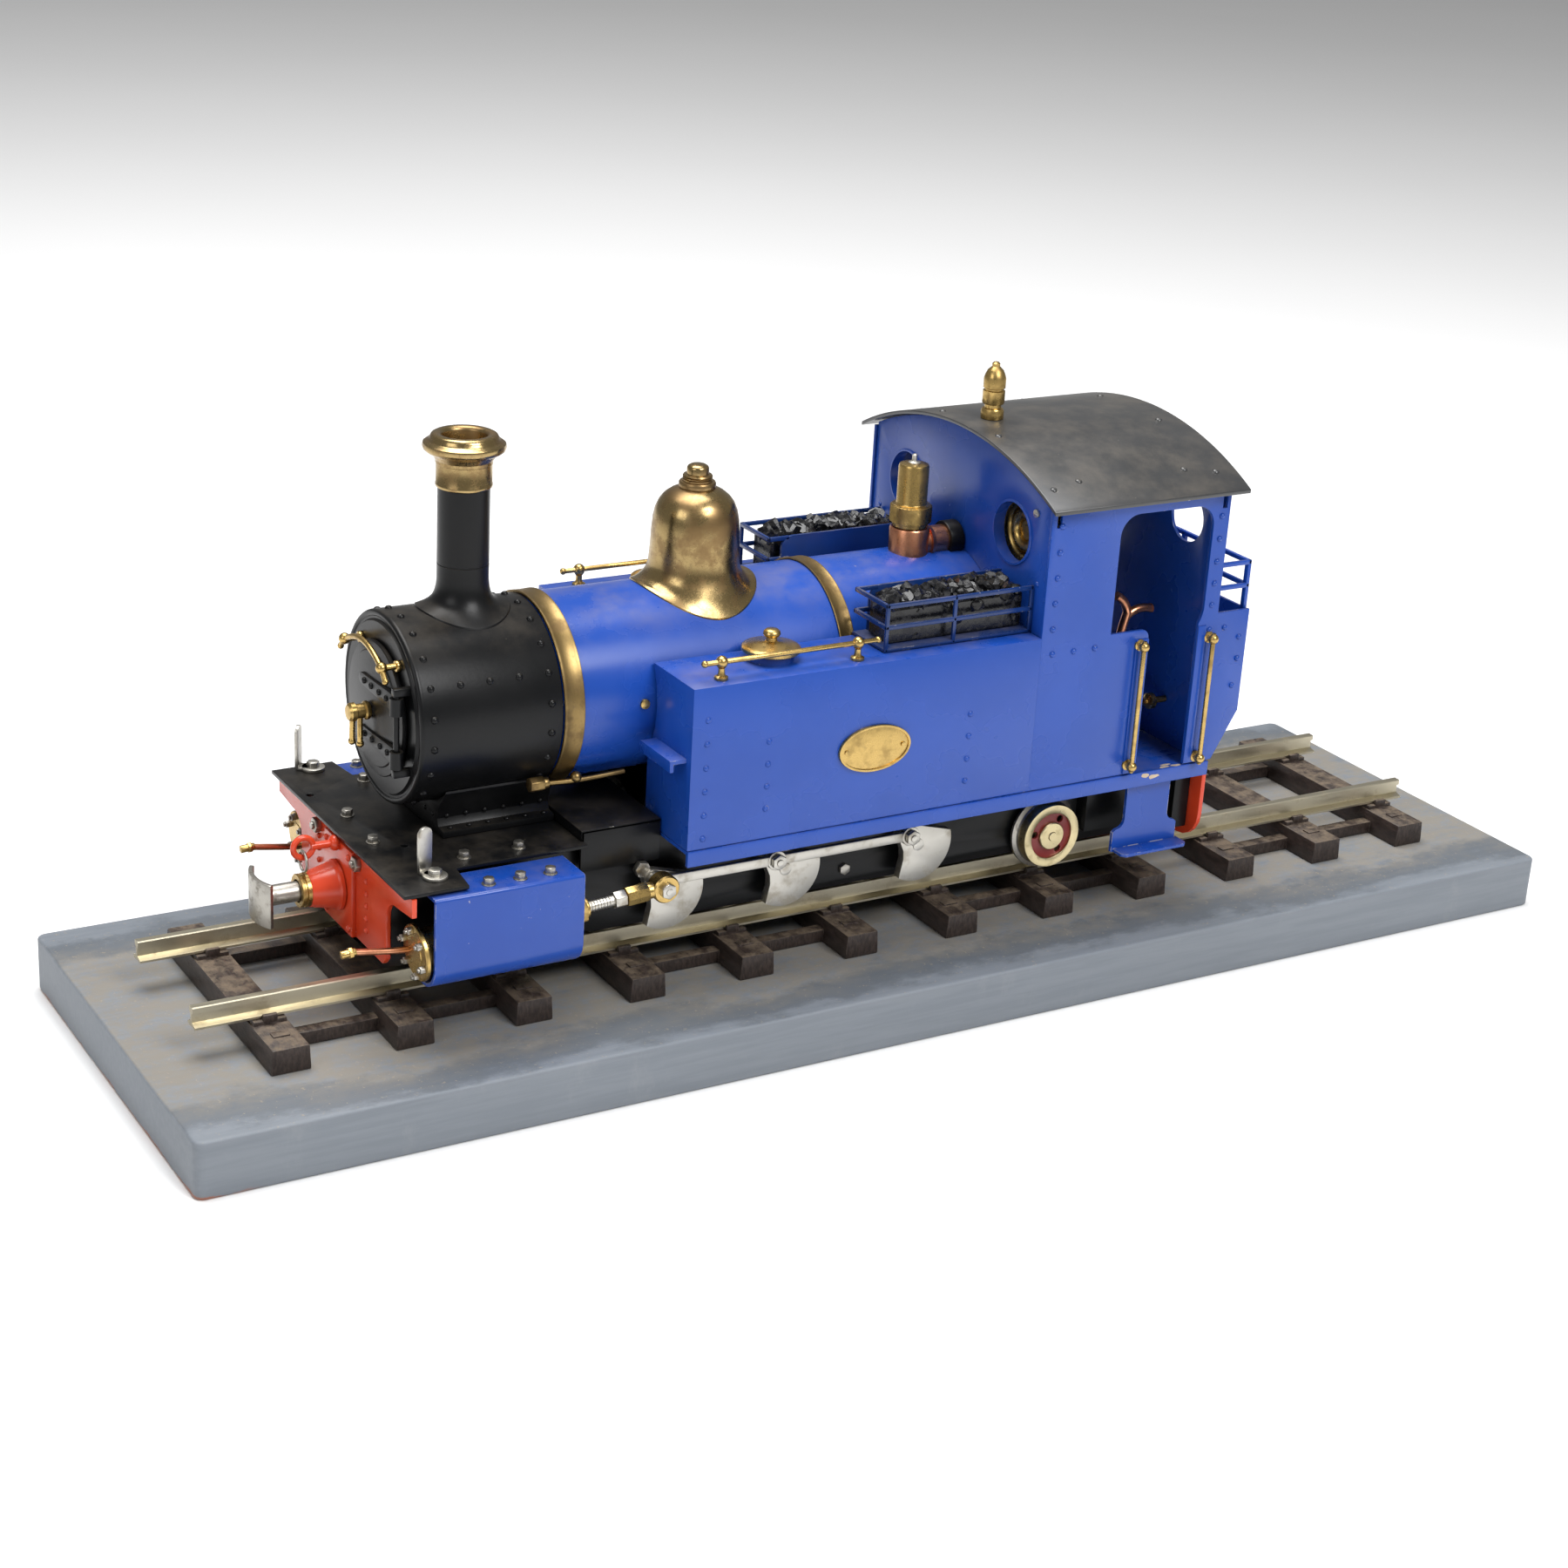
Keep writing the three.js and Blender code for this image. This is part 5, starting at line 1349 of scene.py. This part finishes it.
    def worn_edges(self) -> None:
        """Thin patches where the paint has gone from the doorway's sill."""
        dice = random.Random(31)
        piece = Piece()
        for side in Side:
            for x, y, z, flat in ((83, 52.4, 49.2, False), (86.5, 52.4, 48.4, False),
                                  (93, 49.8, 50.5, True), (96, 51.4, 50.5, True), (91.4, 51.2, 50.5, True)):
                rim = [(dice.uniform(0.7, 1.2), 2 * math.pi * i / 9) for i in range(9)]
                if flat:
                    outline = [(x + 1.9 * r * math.cos(a), side.sign * (y + 0.7 * r * math.sin(a)))
                               for r, a in rim]
                    piece.sheet("z", outline, (z - 0.05, z + 0.06), bevel=0)
                else:
                    outline = [(x + 2.2 * r * math.cos(a), z + 0.8 * r * math.sin(a)) for r, a in rim]
                    piece.sheet("y", outline, side.span(y - 0.05, y + 0.06), bevel=0)
        piece.place("worn_sill", LOCO, Look.CREAM)

    def roof(self) -> None:
        """Curved roof with sparse rivets, its hinge lugs and the whistle."""
        box = Extent.of("cab_roof")
        outer = self.roof_line(self.roof_half, self.roof_radius, 56)
        inner = list(reversed(self.roof_line(self.roof_half, self.roof_radius - self.sheet, 56)))
        piece = Piece().sheet("x", outer + inner, (box.lo.x, box.hi.x), bevel=0.25)
        for x in (38.6, 103.2):
            lug = [(-49.4, 139.9), *arc(*self.pivot, 1.8, 180, 360, 8), (-45.8, 148.4), (-49.4, 147.6)]
            piece.sheet("x", lug, (x, x + 1.2), bevel=0.15)
        rows = {box.lo.x + 5: (-47.5, -16, 16, 47.5), box.hi.x - 8: (-47.5, -16, 16, 47.5),
                50: (-45, 45), 91: (-45, 45)}
        for x, across in rows.items():
            for y in across:
                z = self.roof_z + math.sqrt(self.roof_radius ** 2 - y * y)
                piece.rivet((x, y, z), (0, y, z - self.roof_z), 1.2, 0.6)
        piece.place("roof_sheet", "cab_roof", Look.ROOF, ["cab_roof"])
        x = Extent.of("whistle").mid.x
        pipe = [(0, 158.6), (3.6, 158.6), (3.7, 158.9), (3.7, 161.2), (3.3, 161.9), (2.7, 162.1),
                (2.7, 163.1), (3.4, 163.4), (3.6, 163.8), (3.6, 167.6), (3.1, 167.9), (3.1, 168.3),
                (3.6, 168.6), (3.6, 171.6), (3.3, 172.6), (2.6, 174.2), (1.7, 175), (1.3, 175.4),
                (1.3, 176.3), (0.8, 176.8), (0, 176.8)]
        whistle = Piece().turned("z", pipe, (x, 0, 0), 48)
        whistle.place("whistle_brass", "cab_roof", Look.BRASS, ["whistle"])

    def fittings(self) -> None:
        """Copper pipe, valve knob and the gauge drum behind the near window."""
        y = -28.0
        pipe = Piece().wire([(84, y, self.floor_z), (84, y, 70), (84.9, y, 84), (86.2, y, 91),
                             (88, y, 97.1)], 1.5)
        pipe.wire([(88, y, 96.4), (87.6, y, 99.4), (85.6, y, 102), (82.9, y, 103.2)], 1.45)
        pipe.wire([(87.6, y, 95.2), (89.4, y, 97.4), (93, y, 98.4), (97.2, y, 97.3)], 1.45)
        pipe.turned("x", [(0.8, 97.2), (1.6, 97.2), (1.6, 97.7), (0.8, 97.7), (0.8, 97.2)],
                    (0, y, 97.3), 20)
        pipe.place("cab_pipe_copper", LOCO, Look.COPPER, ["cab_pipe"])
        knob = Piece().turned("x", [(0, 104.2), (1.1, 104.2), (1.1, 99.6), (1.9, 99.4), (2.7, 99),
                                    (2.7, 97.2), (2.2, 96.8), (1.0, 96.6), (1.0, 95.4), (0.6, 95.2),
                                    (0, 95.2)], (0, -32, 66), 28)
        knob.place("valve_knob_brass", "valve_knob", Look.BRASS, ["valve_knob"])
        dial = [(0, 44.4), (3, 44.4), *arc(5.2, 44.6, 2.0, 180, 360, 10),
                *arc(9.6, 44.9, 2.2, 180, 360, 10), (11.8, 50.4), (11.2, 51), (0, 51)]
        drum = Piece().turned("x", dial, (0, -28, 129.5), 64)
        drum.wire([(47, -27, 119), (47, -25, 112), (45.5, -20, 106)], 1.0)
        drum.place("gauge_drum", LOCO, Look.BRASS)
        backhead = Piece().rod("x", 4.2, (44, 46.5), (0, 0, 78), 40, 0.5)
        for side in Side:
            backhead.rod("x", 2.2, (44, 49), (0, side.sign * 12, 98), 6, 0.3)
        backhead.place("backhead_fittings", LOCO, Look.BRASS)


# ------------------------------------------------------------------ running gear
@dataclass
class RunningGear:
    """Wheels, rods, cylinders and pistons."""

    tread: float = 16.5
    flange: float = 18.4
    crank: float = 6.3
    crank_turn: tuple[float, float] = (135.6, 45.6)
    trunnion_y: float = 45.2

    def build(self) -> None:
        """Makes every piece in order."""
        anchors = {j["name"]: j for j in frame["record"]["behaviour"]["joints"]}
        self.trunnion = self.in_mm(anchors["cylinder_near_rock"]["pos_m"])
        hubs = [self.in_mm(anchors[f"wheelset_{i}_spin"]["pos_m"]) for i in (1, 2, 3)]
        for index, hub in enumerate(hubs):
            self.driver(index, hub)
        self.trailer(self.in_mm(anchors["trailing_spin"]["pos_m"]))
        for side in Side:
            self.rod(side, hubs)
            self.cylinder(side, hubs[0])
            self.cover(side)

    @staticmethod
    def in_mm(point: Sequence[float]) -> Vector:
        """A record position in millimetres above the board."""
        return (Vector(point) - Vector((0, 0, BOARD_TOP))) / MM

    def pin(self, side: Side) -> Flat:
        """Where the crankpin is from its axle."""
        a = math.radians(self.crank_turn[0 if side is Side.NEAR else 1])
        return self.crank * math.cos(a), self.crank * math.sin(a)

    def web(self, side: Side) -> list[Flat]:
        """Outline of a crank web about its axle."""
        near = self.crank_turn[0]
        px, pz = self.crank * math.cos(math.radians(near)), self.crank * math.sin(math.radians(near))
        outline = [*arc(0, 0, 12.5, 239, 375, 30), *arc(px, pz, 3.3, 62, 190, 14), (-5.4, -1.5),
                   (-5.2, -4.5)]
        turn = math.radians(self.crank_turn[0 if side is Side.NEAR else 1] - near)
        return [(u * math.cos(turn) - v * math.sin(turn), u * math.sin(turn) + v * math.cos(turn))
                for u, v in outline]

    def driver(self, index: int, hub: Vector) -> None:
        """One driving wheelset: wheels inside the frames, cranks outside."""
        body = f"driving_wheelset_{index + 1}"
        wheels = Piece().rod("y", 3.2, (-38, 38), (hub.x, 0, hub.z), 32)
        cranks = Piece()
        for side in Side:
            s = side.sign
            shape = [(3, 20), (self.flange - 0.4, 20), (self.flange, 20.4), (self.flange - 0.2, 21.1),
                     (17, 21.4), (self.tread, 22), (self.tread, 25.8), (16.2, 26), (14, 26), (13.6, 24.6),
                     (5.4, 24.6), (5, 27.4), (3, 27.4), (3, 20)]
            wheels.turned("y", [(r, s * d) for r, d in shape], (hub.x, 0, hub.z), 64)
            outline = [(hub.x + u, hub.z + v) for u, v in self.web(side)]
            cranks.sheet("y", outline, side.span(36.5, 39.5), bevel=0.35)
            px, pz = self.pin(side)
            at = (hub.x + px, 0, hub.z + pz)
            cranks.rod("y", 1.6, side.span(39, 42.3), at, 20)
            cranks.rod("y", 2.0, side.span(39.4, 39.9), (hub.x, 0, hub.z), 24, 0.1)
            if index:
                cranks.rod("y", 2.6, side.span(42.1, 43.7), at, 6, 0.25)
                cranks.rod("y", 1.2, side.span(43.5, 44.2), at, 16, 0.2)
        wheels.place(f"drivers_{index + 1}", body, Look.DARK_STEEL, [body])
        cranks.place(f"cranks_{index + 1}", body, Look.STEEL)

    def trailer(self, hub: Vector) -> None:
        """Trailing wheelset: flange, tyre, red web with three holes, hub."""
        tyres = Piece().rod("y", 2.0, (-38, 38), (hub.x, 0, hub.z), 24)
        webs = Piece()
        flanges = Piece()
        for side in Side:
            s = side.sign
            flange = [(3, 33.8), (12.2, 33.8), (12.6, 34.1), (12.5, 34.9), (11.2, 35.4), (10.9, 36),
                      (3, 36), (3, 33.8)]
            flanges.turned("y", [(r, s * d) for r, d in flange], (hub.x, 0, hub.z), 72)
            tyre = [(7.9, 35.9), (10.9, 35.9), (10.9, 39.3), (10.7, 39.6), (8.2, 39.6), (7.9, 39.4),
                    (7.9, 35.9)]
            tyres.turned("y", [(r, s * d) for r, d in tyre], (hub.x, 0, hub.z), 72)
            boss = [(0, 36), (4.7, 36), (4.7, 39.6), (4.4, 39.9), (1.6, 40), (1.4, 40.4), (0, 40.4)]
            tyres.turned("y", [(r, s * d) for r, d in boss], (hub.x, 0, hub.z), 48)
            ring = [(hub.x + 8.2 * math.cos(a), hub.z + 8.2 * math.sin(a)) for a in
                    [2 * math.pi * i / 48 for i in range(48)]]
            holes = [arc(*arc(hub.x, hub.z, 6.25, a, a, 1)[0], 1.25, 0, 330, 11) for a in (57, 172, 303)]
            webs.sheet("y", ring, side.span(37.6, 38.7), holes, 0.15)
        tyres.place("trailing_tyres", "trailing_wheelset", Look.PALE_BRASS, ["trailing_wheelset"])
        flanges.place("trailing_flanges", "trailing_wheelset", Look.DARK_STEEL)
        webs.place("trailing_webs", "trailing_wheelset", Look.DARK_RED)

    def rod(self, side: Side, hubs: Sequence[Vector]) -> None:
        """Coupling rod with a boss and bush at each crankpin."""
        px, pz = self.pin(side)
        z = hubs[0].z + pz
        span = side.span(39.8, 41.9)
        piece = Piece().box((hubs[0].x + px, hubs[2].x + px), side.span(40, 41.7), (z - 1.6, z + 1.6), 0.3)
        for hub in hubs:
            loop = arc(hub.x + px, z, 3.2, 0, 352.5, 47)
            hole = arc(hub.x + px, z, 1.75, 0, 345, 23)
            piece.sheet("y", loop, span, [hole], 0.25)
        node = f"coupling_rod_{side.word}"
        piece.place(f"{node}_steel", node, Look.STEEL, [node])

    def tilt(self, side: Side, hub: Vector) -> tuple[float, Matrix]:
        """How far the big end is from the trunnion, and the cylinder's own frame."""
        px, pz = self.pin(side)
        along, up = hub.x + px - self.trunnion.x, hub.z + pz - self.trunnion.z
        angle = math.atan2(up, along)
        frame_of = Matrix.Translation((self.trunnion.x, side.sign * self.trunnion_y, self.trunnion.z))
        return math.hypot(along, up), frame_of @ Matrix.Rotation(-angle, 4, "Y")

    def cylinder(self, side: Side, hub: Vector) -> None:
        """Rocking cylinder with its cover, gland and drain pipe, and the piston in it."""
        reach, place = self.tilt(side, hub)
        s = side.sign
        node = f"cylinder_{side.word}"
        barrel = Piece().turned("x", [(0, -26.2), (4.6, -26.2), (4.8, -26), (8.3, -26), (8.6, -25.7),
                                      (8.6, -24.8), (8.3, -24.5), (6.6, -24.4), (6.6, 19.6), (6.2, 20),
                                      (4, 20), (4, 24), (1.8, 24), (1.8, 17), (5.4, 16.8), (5.4, -20),
                                      (0, -20)], (0, 0, 0), 56, turn=place)
        studs = Piece()
        for i in range(6):
            a = math.radians(20 + 60 * i)
            at = (0, 6.9 * math.cos(a), 6.9 * math.sin(a))
            studs.rod("x", 1.25, (-27.6, -25.9), at, 6, 0.15, turn=place)
            studs.rod("x", 0.7, (-28.3, -27.2), at, 12, 0.1, turn=place)
        studs.place(f"cylinder_studs_{side.word}", node, Look.DARK_STEEL)
        barrel.rod("x", 4.7, (23, 27.8), (0, 0, 0), 6, 0.35, turn=place)
        barrel.rod("x", 3.2, (27.7, 29), (0, 0, 0), 32, 0.3, turn=place)
        barrel.rod("y", 3.5, side.span(-7.6, -5), (0, 0, 0), 32, turn=place)
        away = -s * 4.7
        barrel.rod("x", 1.2, (-46.6, -42), (0, away, 2.8), 20, 0.25, turn=place)
        barrel.rod("x", 1.7, (-44.2, -43), (0, away, 2.8), 6, 0.15, turn=place)
        barrel.place(f"{node}_brass", node, Look.BRASS, [node])
        pipe = Piece().wire([(-25, away, -1), (-30, away, -0.4), (-36, away, 1.2), (-43, away, 2.8)], 1.0,
                            turn=place)
        pipe.place(f"drain_pipe_{side.word}", node, Look.COPPER)
        self.piston(side, reach, place)

    def piston(self, side: Side, reach: float, place: Matrix) -> None:
        """Steel piston rod, lock nut and big-end bolt, and the brass fork with its eye."""
        node = f"piston_{side.word}"
        steel = Piece().rod("x", 5.0, (reach - 68.7, reach - 64.7), (0, 0, 0), 40, 0.3, turn=place)
        steel.rod("x", 1.65, (reach - 66.7, reach - 13), (0, 0, 0), 24, turn=place)
        for i in range(7):
            x = reach - 24.5 + i
            steel.turned("x", [(1.3, x - 0.4), (1.8, x), (1.3, x + 0.4)], (0, 0, 0), 20, turn=place)
        steel.rod("x", 2.8, (reach - 16.9, reach - 13), (0, 0, 0), 6, 0.35, turn=place)
        steel.rod("y", 2.6, side.span(2.4, 4.3), (reach, 0, 0), 6, 0.35, turn=place)
        steel.rod("y", 1.2, side.span(4, 4.6), (reach, 0, 0), 16, 0.25, turn=place)
        steel.place(f"{node}_steel", node, Look.STEEL, [node])
        fork = Piece().rod("x", 3.0, (reach - 12.8, reach - 5.6), (0, 0, 0), 8, 0.3, turn=place)
        fork.rod("x", 2.5, (reach - 5.8, reach - 2), (0, 0, 0), 24, 0.2, turn=place)
        fork.turned("y", [(0, -2.6), (4.0, -2.6), (4.4, -2.1), (4.4, 2.1), (4.0, 2.6), (0, 2.6)],
                    (reach, 0, 0), 40, turn=place)
        fork.place(f"fork_{side.word}", node, Look.BRASS)

    def cover(self, side: Side) -> None:
        """Blue wrap over the cylinder, with three bolts on top."""
        node = f"cylinder_cover_{side.word}"
        box = Extent.of(node)
        outer = [(38.8, 50.3), *arc(52.9, 49.2, 1.1, 90, 0, 5), *arc(46, 28.5, 8, 0, -90, 14), (40, 20.5)]
        inner = [(40, 21.7), *arc(46, 28.5, 6.8, -90, 0, 14), (52.8, 49.1), (38.8, 49.1)]
        outline = [(side.sign * u, v) for u, v in outer + inner]
        piece = Piece().sheet("x", outline, (box.lo.x, box.hi.x), bevel=0.2)
        piece.place(f"{node}_blue", LOCO, Look.CHIPPED_BLUE, [node])
        bolts = Piece()
        for x in (-149.9, -139.9, -130.3):
            bolts.bolt((x, side.sign * 49.2, 50.3), (0, 0, 1), 1.75, 2.1, twist=x)
            bolts.rod("z", 2.1, (50.2, 50.6), (x, side.sign * 49.2, 0), 24, 0.1)
        bolts.place(f"cover_bolts_{side.word}", LOCO, Look.DARK_STEEL)


# ------------------------------------------------------------------ studio
@dataclass
class Studio:
    """Pale floor, soft lights and the camera."""

    eye: Point = (-0.46896, -0.72661, 0.4041)
    yaw: float = 31.57
    pitch: float = 21.92
    roll: float = 3.42
    lens: float = 65.32

    def build(self) -> None:
        """Makes the floor, the lights and the camera."""
        self.floor()
        self.lights()
        self.camera()

    def floor(self) -> None:
        """A wide pale floor."""
        part = bmesh.new()
        bmesh.ops.create_grid(part, x_segments=1, y_segments=1, size=6.0)
        mesh = bpy.data.meshes.new("floor")
        part.to_mesh(mesh)
        part.free()
        floor = bpy.data.objects.new("floor", mesh)
        paper = Material("Pale paper")
        tone = paper.noise(400, 2)
        paper.set(Base_Color=paper.mix(tone, (0.86, 0.86, 0.86), (0.9, 0.9, 0.9)), Roughness=0.9)
        mesh.materials.append(paper.data)
        bpy.context.scene.collection.objects.link(floor)

    def lights(self) -> None:
        """A key light from the front, two soft lights and a dim even sky."""
        scene = bpy.context.scene
        scene.view_settings.view_transform = "Standard"
        world = bpy.data.worlds.new("studio")
        world.use_nodes = True
        world.node_tree.nodes["Background"].inputs[0].default_value = (1.0, 1.0, 1.0, 1.0)
        world.node_tree.nodes["Background"].inputs[1].default_value = 0.27
        scene.world = world
        for name, place, size, power in (("key", (0.35, -1.48, 1.6), 0.9, 31.0),
                                         ("side", (-1.5, -0.5, 1.0), 0.8, 5.0),
                                         ("top", (-0.1, 0.3, 1.7), 1.2, 35.0)):
            lamp = bpy.data.lights.new(name, "AREA")
            lamp.size = size
            lamp.energy = power
            light = bpy.data.objects.new(name, lamp)
            light.location = place
            aim = Vector((0, 0, 0.08)) - Vector(place)
            light.rotation_mode = "QUATERNION"
            light.rotation_quaternion = aim.to_track_quat("-Z", "Y")
            scene.collection.objects.link(light)

    def camera(self) -> None:
        """The camera, in front of the near side and a little above."""
        yaw, pitch, roll = (math.radians(v) for v in (self.yaw, self.pitch, self.roll))
        ahead = Vector((math.sin(yaw) * math.cos(pitch), math.cos(yaw) * math.cos(pitch), -math.sin(pitch)))
        right = Vector((math.cos(yaw), -math.sin(yaw), 0))
        up = right.cross(ahead)
        tilted_right = right * math.cos(roll) + up * math.sin(roll)
        tilted_up = up * math.cos(roll) - right * math.sin(roll)
        turn = Matrix((tilted_right, tilted_up, -ahead)).transposed()
        data = bpy.data.cameras.new("camera")
        data.lens = self.lens
        data.sensor_width = 36.0
        data.clip_start = 0.01
        data.clip_end = 30.0
        camera = bpy.data.objects.new("camera", data)
        camera.rotation_mode = "QUATERNION"
        camera.rotation_quaternion = turn.to_quaternion()
        camera.location = self.eye
        bpy.context.scene.collection.objects.link(camera)
        bpy.context.scene.camera = camera


def main() -> None:
    """Builds every sub-assembly."""
    logging.basicConfig(level=logging.INFO, format="%(message)s")
    for part in (Studio(), DisplayBase(), FrontEnd(), Boiler(), Tanks(), Cab(), RunningGear()):
        part.build()
        LOG.info("built %s", type(part).__name__)


if __name__ == "__main__":
    main()
